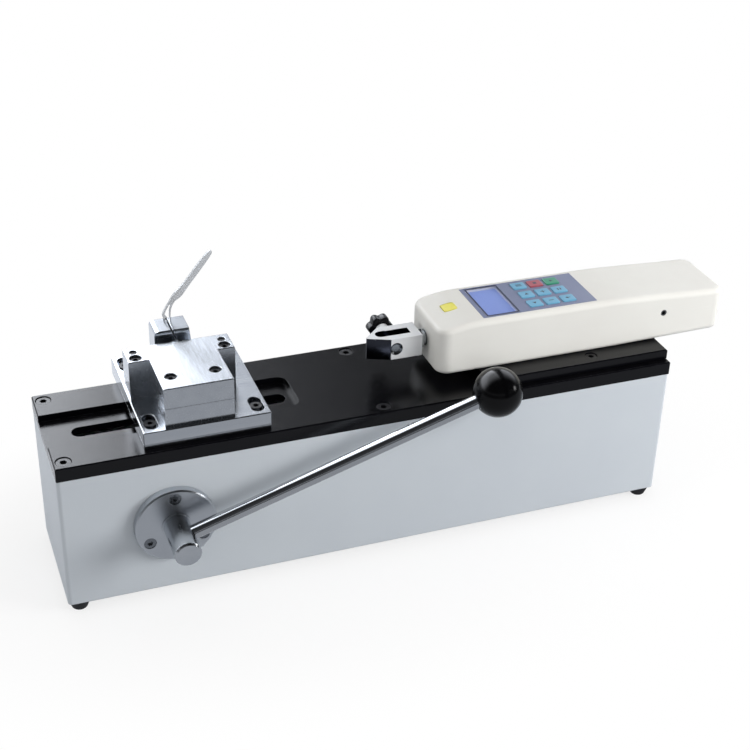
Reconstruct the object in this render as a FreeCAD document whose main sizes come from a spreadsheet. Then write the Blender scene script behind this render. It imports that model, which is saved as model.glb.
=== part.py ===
import FreeCAD, Part
import math
import os
import re
import Sketcher

# Terminal pull tester: a hand lever turns a pinion, the pinion draws a slide with a wire clamp
# away from a slotted terminal block, and a force gauge on the bench reads the pull.
# Frame: +X from the wire clamp to the gauge, +Y to the back, +Z up.
# The origin is on the floor, below the middle of the top plate.

doc = FreeCAD.newDocument("terminal_pull_tester")
sheet = doc.addObject("Spreadsheet::Sheet", "Sizes")

# Driving dimensions in millimetres and degrees.
# A place along the bench is counted from the left end of the top plate, a place across it
# from the bench's middle line, and a height on the bench from the top of the plate.
GIVEN = [
    # Clearances
    ("run_gap", 0.15, "between a slide and its rail"),
    ("shaft_gap", 0.05, "radial, between a shaft and its bush"),
    ("seat_gap", 0.1, "radial, between a screw and its hole"),
    ("key_gap", 0.3, "between a key and its window"),
    ("fit_gap", 0.15, "between pieces laid in a recess"),
    # Bench
    ("plate_length", 450, "top plate"),
    ("plate_width", 96, "top plate"),
    ("plate_thick", 10, "top plate"),
    ("plate_edge", 0.8, "broken edge of the top plate"),
    ("housing_height", 101, "painted housing below the plate"),
    ("housing_wall", 2, "sheet of the housing"),
    ("housing_round", 3, "upright corners of the housing"),
    ("plate_round", 1, "upright corners of the top plate"),
    ("lip_width", 16, "lip inside the housing's lower edge"),
    ("cover_thick", 1.5, "bottom cover"),
    ("cover_gap", 0.5, "between the cover and the housing's walls"),
    ("boss_side", 14, "square boss that takes a plate screw"),
    ("boss_height", 16, "square boss that takes a plate screw"),
    ("foot_height", 8.5, "rubber foot below the housing"),
    ("foot_top_radius", 8.5, "rubber foot"),
    ("foot_low_radius", 5.5, "rubber foot"),
    ("foot_inset", 8.5, "foot's centre from the housing's sides"),
    ("foot_recess", 2, "screw's seat inside the foot"),
    ("foot_recess_radius", 3.6, "screw's seat inside the foot"),
    ("foot_screw_radius", 1.5, "foot screw's shank"),
    ("foot_screw_head", 3, "foot screw's head radius"),
    ("foot_screw_length", 9, "foot screw's shank"),
    ("cover_screw_reach", 5, "cover screw's shank"),
    # Channel and slot in the plate
    ("channel_end", 174.5, "closed end of the channel"),
    ("channel_width", 41, "channel"),
    ("channel_depth", 5, "channel"),
    ("channel_corner", 8, "corners of the closed end"),
    ("slot_start", 19, "left end of the through slot"),
    ("slot_end", 169, "right end of the through slot"),
    ("slot_width", 12, "through slot"),
    # Socket screws in the plate
    ("plate_screw_shank", 3, "socket screw's radius"),
    ("plate_screw_head", 5, "socket screw's head radius"),
    ("plate_screw_tall", 6, "socket screw's head"),
    ("plate_screw_length", 16, "socket screw's shank"),
    ("plate_screw_sunk", 0.6, "head below the plate's top"),
    ("sink_radius", 5.5, "counterbore of the socket screws"),
    ("screw_inset_end", 7, "from the plate's left end"),
    ("screw_inset_side", 8.3, "from the plate's long sides"),
    ("screw_middle_place", 228, "second pair along the plate"),
    ("hex_share", 0.5, "hexagon socket's radius as a share of the head's"),
    # Riser under the gauge
    ("riser_start", 306, "left end"),
    ("riser_end", 449, "right end"),
    ("riser_width", 86, "raised plate"),
    ("riser_thick", 8, "raised plate"),
    ("riser_screw_shank", 2.5, "screw's radius"),
    ("riser_screw_head", 4.25, "screw's head radius"),
    ("riser_screw_tall", 5, "screw's head"),
    ("riser_screw_length", 12, "screw's shank"),
    ("riser_sink_radius", 4.6, "counterbore"),
    ("riser_screw_left", 322, "first pair along the plate"),
    ("riser_screw_right", 391, "second pair along the plate"),
    ("riser_screw_side", 33.5, "from the middle line"),
    # Lever shaft
    ("shaft_place", 75.7, "shaft's axis along the plate"),
    ("shaft_drop", 57.2, "shaft's axis below the plate's top"),
    ("flange_radius", 28, "round flange on the front wall"),
    ("flange_thick", 6, "round flange"),
    ("flange_edge", 1, "chamfer of the flange"),
    ("spigot_radius", 14, "flange's spigot through the wall"),
    ("spigot_length", 8, "flange's spigot behind the wall's face"),
    ("flange_screw_ring", 21.3, "radius of the circle of screws"),
    ("flange_screw_angle", 90, "first screw above the right-hand side"),
    ("flange_screw_shank", 2.5, "screw's radius"),
    ("flange_screw_head", 4.2, "screw's head radius"),
    ("flange_screw_tall", 3.2, "screw's head"),
    ("flange_screw_length", 10, "screw's shank"),
    ("bush_wall", 2, "bronze bush"),
    ("hub_radius", 9.2, "hub outside the flange"),
    ("hub_reach", 40.3, "hub's end in front of the housing"),
    ("hub_edge", 1.4, "chamfer of the hub's end"),
    ("washer_thick", 1, "thrust washer"),
    ("journal_radius", 7, "shaft in the bush"),
    ("tail_radius", 5, "shaft in the rear bearing"),
    ("bearing_deep", 12, "rear bearing block"),
    ("bearing_side", 34, "rear bearing block"),
    ("ring_thick", 1, "retaining ring"),
    ("ring_rim", 2, "retaining ring outside its groove"),
    ("ring_groove", 1, "groove's depth"),
    ("lever_rise", 17.5, "lever's angle above the right-hand side"),
    ("lever_length", 236, "shaft's axis to the ball's centre"),
    ("lever_radius", 5, "chrome rod"),
    ("lever_reach", 20, "rod's axis in front of the housing"),
    ("lever_start", 3, "rod's end from the shaft's axis"),
    ("lever_grip", 9, "rod's length inside the ball"),
    ("ball_radius", 17.5, "ball knob"),
    ("ball_flat", 1.2, "flat round the rod's hole"),
    # Pinion and rack
    ("tooth_module", 1.5, "pinion and rack"),
    ("tooth_count", 26, "pinion"),
    ("tooth_play", 0.5, "gap between the flanks"),
    ("tooth_slope", 20, "flank's angle"),
    ("pinion_width", 12, "pinion"),
    ("rack_width", 10, "rack"),
    ("rack_start", 52, "rack's left end"),
    ("rack_teeth", 17, "rack"),
    ("rack_back", 10, "rack above its teeth"),
    ("pin_radius", 1.5, "pinion's cross pin"),
    ("pin_reach", 12, "cross pin's half length"),
    # Slide
    ("shoe_start", 63, "shoe's left end"),
    ("shoe_length", 78, "shoe in the channel"),
    ("neck_start", 72, "neck's left end"),
    ("neck_length", 58, "neck through the slot"),
    ("neck_screw_radius", 2, "rack screw"),
    ("neck_screw_length", 16, "rack screw"),
    ("neck_screw_head", 3.4, "rack screw's head radius"),
    ("neck_screw_tall", 3, "rack screw's head"),
    ("stack_start", 59.4, "left edge of the slide plate and the cross plate"),
    ("stack_length", 87.2, "slide plate and cross plate"),
    ("stack_front", 43, "front edge, before the middle line"),
    ("stack_depth", 105, "slide plate and cross plate"),
    ("stack_edge", 0.5, "broken edges"),
    ("slide_thick", 3.3, "slide plate"),
    ("cross_thick", 9.2, "cross plate"),
    ("cross_inset_end", 7.3, "slots from the left and right edges"),
    ("cross_slot_front", 13.3, "front slots' centres from the front edge"),
    ("cross_slot_back", 12.2, "back slots' centres from the back edge"),
    ("cross_slot_length", 19, "slots"),
    ("cross_slot_radius", 4.5, "slots' ends"),
    ("cross_slot_deep", 5.6, "wide part of the slots"),
    ("cross_screw_shank", 2.5, "screw in a slot"),
    ("cross_screw_head", 4.2, "screw in a slot"),
    ("cross_screw_tall", 4.6, "screw's head"),
    # Clamp tower
    ("stem_start", 74.8, "narrow part's left side"),
    ("stem_length", 47.4, "narrow part along the bench"),
    ("head_start", 60.6, "wide part's left side"),
    ("head_length", 73.4, "wide part along the bench"),
    ("tower_front", 39.8, "front face, before the middle line"),
    ("stem_depth", 40.8, "narrow part across the bench"),
    ("head_depth", 20, "wide part across the bench"),
    ("lower_tall", 13.5, "lower block"),
    ("upper_tall", 15.3, "upper block"),
    ("tower_edge", 0.5, "broken edges"),
    ("tower_screw_shank", 2.5, "screw's radius"),
    ("tower_screw_head", 3.9, "screw's head radius"),
    ("tower_sink_radius", 4.3, "counterbore"),
    ("tower_screw_tall", 5, "screw's head"),
    ("tower_screw_sunk", 1.5, "head below the block's top"),
    ("stem_screw_inset", 8.6, "narrow part's screws from its sides"),
    ("stem_screw_front", 15.4, "narrow part's screws from the front face"),
    ("head_screw_inset", 6, "wide part's screws from its sides"),
    ("head_screw_front", 5.3, "wide part's screws from its front face"),
    ("dowel_radius", 2.8, "dowel"),
    ("dowel_front", 13.2, "dowels from the wide part's front face"),
    ("dowel_sunk", 1, "dowel below the block's top"),
    # Wire jaws
    ("bed_start", 76, "jaw bed's left end"),
    ("bed_length", 46, "jaw bed"),
    ("bed_front", 23, "jaw bed's front face behind the middle line"),
    ("bed_depth", 24, "jaw bed"),
    ("bed_tall", 10, "jaw bed"),
    ("groove_width", 8, "groove in the bed"),
    ("groove_deep", 4, "groove in the bed"),
    ("jaw_front", 27, "jaws' front faces behind the middle line"),
    ("jaw_depth", 18, "jaws"),
    ("jaw_tall", 24.4, "jaws above the bed"),
    ("jaw_left", 84.3, "fixed jaw's outer face"),
    ("jaw_right", 110, "moving jaw's outer face"),
    ("jaw_crown", 1.3, "moving jaw's outer face leans in by this"),
    ("jaw_meet", 100.3, "fixed jaw's inner face below the lean"),
    ("jaw_lean", 4.3, "inner faces lean left by this at the top"),
    ("jaw_lean_tall", 12, "height of the leaning part"),
    ("jaw_space", 1.2, "between the closed jaws"),
    ("jaw_round", 3.2, "fixed jaw's upper outer edge"),
    ("jaw_travel", 4, "moving jaw"),
    # Clamp lever
    ("pivot_place", 95, "lever's pivot along the plate"),
    ("pivot_height", 30, "lever's pivot above the plate"),
    ("pivot_radius", 2.5, "shoulder of the pivot screw"),
    ("pivot_head", 4.5, "pivot screw's head radius"),
    ("pivot_head_tall", 2.5, "pivot screw's head"),
    ("pivot_grip", 8, "pivot screw inside the fixed jaw"),
    ("blade_thick", 2, "clamp lever"),
    ("disc_radius", 6.6, "lever's round end"),
    ("lobe_turn", 50, "lever's travel"),
    ("follower_radius", 2, "moving jaw's pin behind the jaw"),
    # Terminal block
    ("pull_height", 25.6, "gauge's axis above the plate"),
    ("block_start", 228, "wedge's tip"),
    ("block_end", 267.5, "right end"),
    ("block_width", 20, "terminal block"),
    ("block_tall", 16.2, "terminal block"),
    ("wedge_length", 16, "front bevel along the plate"),
    ("wedge_back", 12.4, "rear bevel along the plate"),
    ("tip_front", 3.4, "wedge's tip before the middle line"),
    ("tip_width", 1.2, "wedge's tip"),
    ("pocket_start", 235.5, "terminal slot's left end"),
    ("pocket_end", 261, "terminal slot's right end"),
    ("pocket_width", 8, "terminal slot"),
    ("pocket_deep", 12.2, "terminal slot"),
    ("cross_pin_place", 248, "cross pin along the plate"),
    ("cross_pin_radius", 3, "cross pin"),
    ("cross_pin_short", 1.4, "cross pin behind the block's front face"),
    ("cross_mouth", 1.7, "bevel round the cross pin on the front face"),
    ("thumb_radius", 3.4, "thumb screw"),
    ("boss_radius", 5, "threaded boss behind the block"),
    ("boss_length", 9.5, "threaded boss behind the block"),
    ("knob_space", 1.5, "between the boss and the thumb knob"),
    ("collar_radius", 4.4, "thumb screw's collar"),
    ("collar_length", 1.4, "thumb screw's collar"),
    ("knob_radius", 6.8, "thumb knob without its lobes"),
    ("knob_thick", 8, "thumb knob"),
    ("knob_lobes", 6, "thumb knob"),
    ("lobe_radius", 2.8, "thumb knob"),
    ("shaft_thick", 5, "measuring shaft's radius"),
    ("nut_radius", 7.5, "lock nut across its corners"),
    ("nut_thick", 3, "lock nut"),
    # Gauge
    ("gauge_start", 273, "nose"),
    ("gauge_end", 501.5, "rear end"),
    ("gauge_width", 56, "case"),
    ("case_wall", 2.2, "case"),
    ("case_split", 22, "seam above the riser"),
    ("nose_tall", 34.5, "case at the nose, above the riser"),
    ("brow_place", 304, "where the flat top starts"),
    ("crown_tall", 39, "flat top above the riser"),
    ("slope_place", 402, "where the rear starts to fall"),
    ("tail_tall", 34.8, "case at the rear end"),
    ("tail_rise", 1.6, "rear end's bottom above the riser"),
    ("tail_bend", 408, "where the bottom starts to rise"),
    ("case_corner", 10, "upright corners of the case at the nose"),
    ("tail_corner", 8, "upright corners of the case at the rear"),
    ("case_brow", 4, "upper edges of the case"),
    ("case_sole", 4, "lower edges of the case"),
    ("panel_start", 308.2, "blue panel's left edge"),
    ("panel_length", 89, "blue panel"),
    ("panel_width", 45.6, "blue panel"),
    ("panel_thick", 0.6, "blue panel"),
    ("window_start", 311.3, "display's left edge"),
    ("window_length", 25.9, "display"),
    ("window_width", 43.4, "display"),
    ("window_rim", 1.4, "display's dark edge"),
    ("panel_sunk", 0.5, "recess for the panel"),
    ("key_first_column", 351.8, "keys' first column"),
    ("key_first_row", 14.2, "keys' back row behind the middle line"),
    ("key_pitch_along", 13.1, "keys"),
    ("key_pitch_across", 14, "keys"),
    ("key_length", 10.4, "keys"),
    ("key_width", 9, "keys"),
    ("key_proud", 0.9, "key above the panel"),
    ("key_travel", 0.5, "key"),
    ("key_collar", 0.8, "collar under the roof"),
    ("key_rim", 0.8, "collar outside the cap"),
    ("switch_radius", 1.8, "dome switch on the board"),
    ("switch_tall", 0.6, "dome switch on the board"),
    ("socket_place", 451.2, "charging socket along the plate"),
    ("socket_height", 30.5, "charging socket above the plate"),
    ("socket_radius", 2.4, "charging socket"),
    ("socket_bore", 1.4, "charging socket"),
    ("socket_length", 12, "charging socket"),
    ("gauge_screw_radius", 2, "gauge screw"),
    ("gauge_screw_head", 3.6, "gauge screw"),
    ("gauge_screw_tall", 3, "gauge screw's head"),
    ("gauge_screw_left", 352, "first pair along the plate"),
    ("gauge_screw_right", 420, "second pair along the plate"),
    ("gauge_screw_side", 14, "from the middle line"),
    ("gauge_post", 6, "screw post in the case"),
    ("post_radius", 4.5, "screw post in the case"),
    ("cell_start", 288, "load cell's left end"),
    ("cell_length", 52, "load cell"),
    ("cell_width", 22, "load cell"),
    ("cell_tall", 16, "load cell"),
    ("board_thick", 1.6, "circuit board"),
    ("board_drop", 7, "circuit board below the flat top"),
    ("board_pillar", 2, "board's pillar under the roof"),
    ("pillar_left", 342, "first pillars along the plate"),
    ("pillar_right", 391, "second pillars along the plate"),
    ("board_inset", 7, "circuit board from the case's sides"),
    ("battery_start", 428, "battery pack's left end"),
    ("battery_length", 50, "battery pack"),
    ("battery_width", 40, "battery pack"),
    ("battery_tall", 14, "battery pack"),
]

# Places and sizes that follow from the driving dimensions.
WORKED = [
    ("left_end", "-plate_length / 2"),
    ("front_side", "-plate_width / 2"),
    ("back_side", "plate_width / 2"),
    ("housing_top", "foot_height + housing_height"),
    ("plate_top", "housing_top + plate_thick"),
    ("wall_inside", "back_side - housing_wall"),
    ("boss_top_depth", "boss_height"),
    ("screw_side", "plate_width / 2 - screw_inset_side"),
    ("riser_top", "plate_top + riser_thick"),
    ("shaft_line", "left_end + shaft_place"),
    ("shaft_height", "plate_top - shaft_drop"),
    ("flange_face", "front_side - flange_thick"),
    ("hub_end", "front_side - hub_reach"),
    ("hub_back", "flange_face - washer_thick"),
    ("lever_plane", "front_side - lever_reach"),
    ("bush_inner", "journal_radius + shaft_gap"),
    ("bush_outer", "bush_inner + bush_wall"),
    ("bush_end", "front_side + housing_wall + spigot_length"),
    ("bearing_face", "wall_inside - bearing_deep"),
    ("pitch_radius", "tooth_module * tooth_count / 2"),
    ("pitch_line", "shaft_height + pitch_radius"),
    ("rack_roots", "pitch_line + 1.25 * tooth_module"),
    ("rack_top", "rack_roots + rack_back"),
    ("tooth_pitch", "tooth_module * 3.14159265"),
    ("channel_floor", "plate_top - channel_depth"),
    ("shoe_low", "channel_floor + run_gap"),
    ("slide_low", "plate_top + run_gap"),
    ("cross_low", "slide_low + slide_thick"),
    ("cross_top", "cross_low + cross_thick"),
    ("stack_left", "left_end + stack_start"),
    ("stack_back", "stack_depth - stack_front"),
    ("parting", "cross_top + lower_tall"),
    ("tower_top", "parting + upper_tall"),
    ("head_front", "stem_depth - tower_front"),
    ("bed_top", "cross_top + bed_tall"),
    ("jaw_top", "bed_top + jaw_tall"),
    ("jaw_back", "jaw_front + jaw_depth"),
    ("pivot_line", "left_end + pivot_place"),
    ("pivot_level", "plate_top + pivot_height"),
    ("blade_front", "jaw_back + run_gap"),
    ("pull_level", "plate_top + pull_height"),
    ("block_low", "pull_level - block_tall / 2"),
    ("block_top", "pull_level + block_tall / 2"),
    ("pin_line", "left_end + cross_pin_place"),
    ("knob_face", "block_width / 2 + boss_length + knob_space"),
    ("nose", "left_end + gauge_start"),
    ("rear", "left_end + gauge_end"),
    ("seam", "riser_top + case_split"),
    ("crown", "riser_top + crown_tall"),
    ("panel_seat", "crown - panel_sunk"),
    ("panel_top", "panel_seat + panel_thick"),
    ("case_floor", "riser_top + tail_rise + case_wall"),
    ("board_top", "crown - board_drop"),
]

names = set()
for row, (name, number, note) in enumerate(GIVEN, start=1):
    sheet.set(f"A{row}", name)
    sheet.set(f"B{row}", str(number))
    sheet.set(f"C{row}", note)
    sheet.setAlias(f"B{row}", name)
    names.add(name)
for row, (name, formula) in enumerate(WORKED, start=len(GIVEN) + 2):
    sheet.set(f"A{row}", name)
    sheet.set(f"B{row}", "=" + formula)
    sheet.setAlias(f"B{row}", name)
    names.add(name)
doc.recompute()


def linked(formula):
    """The formula with each size pointing at its cell in the sheet."""
    def cell(word):
        return "Sizes." + word.group() if word.group() in names else word.group()
    return re.sub(r"[A-Za-z_]\w*", cell, str(formula))


def worth(formula):
    """The formula's number, in millimetres or degrees."""
    return float(sheet.evalExpression(str(formula)))


def bind(thing, **formulas):
    """Ties properties of an object to formulas of the sheet's sizes."""
    for prop, formula in formulas.items():
        thing.setExpression(prop, linked(formula))


# A primitive stands along Z unless its axis is turned along X or Y.
TURNS = {
    "x": FreeCAD.Rotation(FreeCAD.Vector(0, 1, 0), 90),
    "y": FreeCAD.Rotation(FreeCAD.Vector(1, 0, 0), -90),
    "z": FreeCAD.Rotation(),
}


def place(thing, x="0", y="0", z="0", axis="z"):
    thing.Placement = FreeCAD.Placement(FreeCAD.Vector(), TURNS[axis])
    for way, formula in zip("xyz", (x, y, z)):
        thing.setExpression("Placement.Base." + way, linked(formula))
    return thing


def block(name, x, y, z, length, width, height):
    """A box from its low corner."""
    thing = doc.addObject("Part::Box", name)
    bind(thing, Length=length, Width=width, Height=height)
    return place(thing, x, y, z)


def rod(name, x, y, z, radius, length, axis="z"):
    """A cylinder that starts at a point and runs along the axis."""
    thing = doc.addObject("Part::Cylinder", name)
    bind(thing, Radius=radius, Height=length)
    return place(thing, x, y, z, axis)


def hexagon(name, x, y, z, radius, length, axis="z"):
    """A six-sided bar that starts at a point and runs along the axis."""
    thing = doc.addObject("Part::Prism", name)
    thing.Polygon = 6
    bind(thing, Circumradius=radius, Height=length)
    return place(thing, x, y, z, axis)


def fuse(name, things):
    thing = doc.addObject("Part::MultiFuse", name)
    thing.Shapes = things
    return thing


def cut(name, base, tools):
    thing = doc.addObject("Part::Cut", name)
    thing.Base = base
    thing.Tool = tools[0] if len(tools) == 1 else fuse(name + "_tools", tools)
    return thing


def set_of(name, things):
    """Like pieces that share a node as separate solids."""
    thing = doc.addObject("Part::Compound", name)
    thing.Links = things
    return thing


def new_body(name):
    return doc.addObject("PartDesign::Body", name)


def sketch_on(body, role, offset="0"):
    """A sketch on one of the body's own origin planes, lifted along the plane's normal."""
    plane = [o for o in body.Origin.OriginFeatures if o.Role == role][0]
    sketch = body.newObject("Sketcher::SketchObject", body.Name + "_sketch")
    sketch.AttachmentSupport = [(plane, "")]
    sketch.MapMode = "FlatFace"
    sketch.setExpression("AttachmentOffset.Base.z", linked(offset))
    return sketch


def tie(sketch, kind, geometry, point, formula):
    """Holds one coordinate of a sketch point at a formula's value."""
    spot = sketch.addConstraint(
        Sketcher.Constraint(kind, -1, 1, geometry, point, worth(formula)))
    sketch.setExpression(f"Constraints[{spot}]", linked(formula))


def draw_outline(sketch, points):
    """A closed outline of straight sides through points given as formulas."""
    spots = [FreeCAD.Vector(worth(a), worth(b), 0) for a, b in points]
    first = sketch.GeometryCount
    count = len(spots)
    for i in range(count):
        sketch.addGeometry(Part.LineSegment(spots[i], spots[(i + 1) % count]))
    for i in range(count):
        sketch.addConstraint(
            Sketcher.Constraint("Coincident", first + i, 2, first + (i + 1) % count, 1))
    for i, (a, b) in enumerate(points):
        tie(sketch, "DistanceX", first + i, 1, a)
        tie(sketch, "DistanceY", first + i, 1, b)


def draw_rectangle(sketch, left, low, right, high):
    draw_outline(sketch, [(left, low), (right, low), (right, high), (left, high)])


def draw_circle(sketch, a, b, radius):
    middle = FreeCAD.Vector(worth(a), worth(b), 0)
    circle = sketch.addGeometry(
        Part.Circle(middle, FreeCAD.Vector(0, 0, 1), worth(radius)))
    tie(sketch, "DistanceX", circle, 3, a)
    tie(sketch, "DistanceY", circle, 3, b)
    spot = sketch.addConstraint(Sketcher.Constraint("Radius", circle, worth(radius)))
    sketch.setExpression(f"Constraints[{spot}]", linked(radius))


def pad(body, sketch, length, backwards=False, both_ways=False):
    feature = body.newObject("PartDesign::Pad", body.Name + "_pad")
    feature.Profile = sketch
    bind(feature, Length=length)
    feature.Reversed = backwards
    feature.Midplane = both_ways
    doc.recompute()
    return feature


def pocket(body, sketch, depth, backwards=False, both_ways=False):
    before = body.Shape.Volume
    feature = body.newObject("PartDesign::Pocket", body.Name + "_pocket")
    feature.Profile = sketch
    bind(feature, Length=depth)
    feature.Reversed = backwards
    feature.Midplane = both_ways
    doc.recompute()
    if not body.Shape.Volume < before:
        raise RuntimeError(body.Name + ": a pocket cut nothing")
    return feature


def round_off(body, radius, chosen, kind="Fillet"):
    """Rounds or chamfers the edges that a test of the edge picks out."""
    picked = [f"Edge{i}" for i, edge in enumerate(body.Shape.Edges, 1) if chosen(edge)]
    if not picked:
        raise RuntimeError(body.Name + ": no edge to round")
    base = body.Tip
    feature = body.newObject("PartDesign::" + kind, body.Name + "_" + kind.lower())
    feature.Base = (base, picked)
    prop = "Radius" if kind == "Fillet" else "Size"
    feature.setExpression(prop, linked(radius))
    doc.recompute()
    return feature


def turned(name, points, along):
    """A turned piece from a half outline of (radius, station) points on its axis."""
    body = new_body(name)
    sketch = sketch_on(body, "XZ_Plane" if along == "z" else "XY_Plane")
    draw_outline(sketch, points)
    feature = body.newObject("PartDesign::Revolution", name + "_turning")
    feature.Profile = sketch
    feature.ReferenceAxis = (sketch, ["V_Axis"])
    feature.Angle = 360
    doc.recompute()
    return body


def upright(edge):
    """True for a straight edge along Z."""
    low, high = edge.BoundBox.ZMin, edge.BoundBox.ZMax
    return high - low > 0.99 * edge.Length and len(edge.Vertexes) == 2


def near(value, formula):
    return abs(value - worth(formula)) < 0.01


def level(edge, formula):
    """True for an edge that lies wholly at one height."""
    return near(edge.BoundBox.ZMin, formula) and near(edge.BoundBox.ZMax, formula)


def socket_screw(name, x, y, seat, shank, head, tall, length):
    """A screw with a hexagon socket, its head standing on a seat and its shank pointing down."""
    body = fuse(name + "_blank", [
        rod(name + "_head", x, y, seat, head, tall),
        rod(name + "_shank", x, y, f"{seat} - ({length})", shank, f"({length}) + {tall} / 2"),
    ])
    hollow = hexagon(name + "_hex", x, y, f"{seat} + {tall} * 0.4", f"{head} * hex_share", tall)
    return cut(name, body, [hollow])


pieces = []


def finish(thing, label):
    """Names a sub-part as its file is named."""
    thing.Label = label
    pieces.append(thing)
    return thing


# Bench housing: folded and welded sheet, open at the top, with a lip round the lower edge
# and square bosses below the plate's screws.
def bench_housing():
    body = new_body("bench_housing")
    outline = sketch_on(body, "XY_Plane", "foot_height")
    draw_rectangle(outline, "left_end", "front_side", "-left_end", "back_side")
    pad(body, outline, "housing_height")
    round_off(body, "housing_round", upright)
    room = sketch_on(body, "XY_Plane", "housing_top")
    draw_rectangle(room, "left_end + housing_wall", "-wall_inside",
                   "-left_end - housing_wall", "wall_inside")
    pocket(body, room, "housing_height - housing_wall")
    mouth = sketch_on(body, "XY_Plane", "foot_height + housing_wall")
    draw_rectangle(mouth, "left_end + lip_width", "front_side + lip_width",
                   "-left_end - lip_width", "back_side - lip_width")
    pocket(body, mouth, "housing_wall")
    round_hole = sketch_on(body, "XZ_Plane", "-front_side")
    draw_circle(round_hole, "shaft_line", "shaft_height", "spigot_radius + seat_gap")
    for spot in range(3):
        across, up = flange_spot(spot)
        draw_circle(round_hole, across, up, "flange_screw_shank + seat_gap")
    pocket(body, round_hole, "housing_wall * 2")
    foot_holes = sketch_on(body, "XY_Plane", "foot_height + housing_wall")
    for x, y in foot_spots():
        draw_circle(foot_holes, x, y, "foot_screw_radius + seat_gap")
    for x, y in cover_spots():
        draw_circle(foot_holes, x, y, "foot_screw_radius + seat_gap")
    pocket(body, foot_holes, "housing_wall")
    bosses = sketch_on(body, "XY_Plane", "housing_top - boss_height")
    for side in ("-1", "1"):
        edge = f"{side} * wall_inside"
        inner = f"{side} * (wall_inside - boss_side)"
        low, high = (edge, inner) if side == "-1" else (inner, edge)
        for left in ("left_end + housing_wall",
                     "left_end + screw_middle_place - boss_side / 2",
                     "-left_end - housing_wall - boss_side"):
            draw_rectangle(bosses, left, low, f"{left} + boss_side", high)
    pad(body, bosses, "boss_height")
    threads = sketch_on(body, "XY_Plane", "housing_top")
    for x, y in plate_screw_spots():
        draw_circle(threads, x, y, "plate_screw_shank + seat_gap")
    pocket(body, threads, "boss_height")
    return body


def flange_spot(number):
    """Centre of one of the three flange screws, as formulas."""
    angle = f"(flange_screw_angle + {number * 120})"
    return (f"shaft_line + flange_screw_ring * cos({angle} * 1deg)",
            f"shaft_height + flange_screw_ring * sin({angle} * 1deg)")


def foot_spots():
    return [(f"{a} * (plate_length / 2 - foot_inset)", f"{b} * (plate_width / 2 - foot_inset)")
            for a in (-1, 1) for b in (-1, 1)]


def cover_spots():
    """Six screws through the lip: three along each long side."""
    return [(f"{a} * plate_length / 3", f"{b} * (plate_width / 2 - foot_inset)")
            for a in (-1, 0, 1) for b in (-1, 1)]


def plate_screw_spots():
    return [(f"left_end + {place_along}", f"{side} * screw_side")
            for place_along in ("screw_inset_end", "screw_middle_place")
            for side in (-1, 1)]


finish(bench_housing(), "bench_housing")


# Bottom cover: a flat sheet lying on the lip inside the housing.
def bottom_cover():
    body = new_body("bottom_cover")
    outline = sketch_on(body, "XY_Plane", "foot_height + housing_wall")
    side = "wall_inside - cover_gap"
    end = "left_end + housing_wall + cover_gap"
    draw_rectangle(outline, end, f"-({side})", f"-({end})", side)
    pad(body, outline, "cover_thick")
    holes = sketch_on(body, "XY_Plane", "foot_height + housing_wall + cover_thick")
    for x, y in foot_spots() + cover_spots():
        draw_circle(holes, x, y, "foot_screw_radius + seat_gap")
    pocket(body, holes, "cover_thick")
    return body


finish(bottom_cover(), "bottom_cover")

# Pan-head screws from below through the lip and the cover.
finish(set_of("cover_screws", [
    fuse(f"cover_screw_{i}", [
        rod(f"cover_screw_head_{i}", x, y, "foot_height - foot_screw_head / 2",
            "foot_screw_head", "foot_screw_head / 2"),
        rod(f"cover_screw_shank_{i}", x, y, "foot_height - foot_screw_head / 4",
            "foot_screw_radius", "cover_screw_reach + foot_screw_head / 4"),
    ]) for i, (x, y) in enumerate(cover_spots())]), "cover_screws")


# Rubber feet: tapered pucks with a seat for their screw.
def rubber_foot(number, x, y):
    foot = turned(f"rubber_foot_{number}", [
        ("foot_screw_radius + seat_gap", "foot_recess"),
        ("foot_recess_radius", "foot_recess"),
        ("foot_recess_radius", "0"),
        ("foot_low_radius - 0.8", "0"),
        ("foot_low_radius", "0.8"),
        ("foot_top_radius", "foot_height"),
        ("foot_screw_radius + seat_gap", "foot_height"),
    ], "z")
    return place(foot, x, y)


finish(set_of("rubber_feet", [rubber_foot(i, x, y) for i, (x, y) in enumerate(foot_spots())]),
       "rubber_feet")

finish(set_of("foot_screws", [
    fuse(f"foot_screw_{i}", [
        rod(f"foot_screw_head_{i}", x, y, "foot_recess - foot_recess * 0.8",
            "foot_screw_head", "foot_recess * 0.8"),
        rod(f"foot_screw_shank_{i}", x, y, "foot_recess / 2", "foot_screw_radius",
            "foot_screw_length"),
    ]) for i, (x, y) in enumerate(foot_spots())]), "foot_screws")


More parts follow.
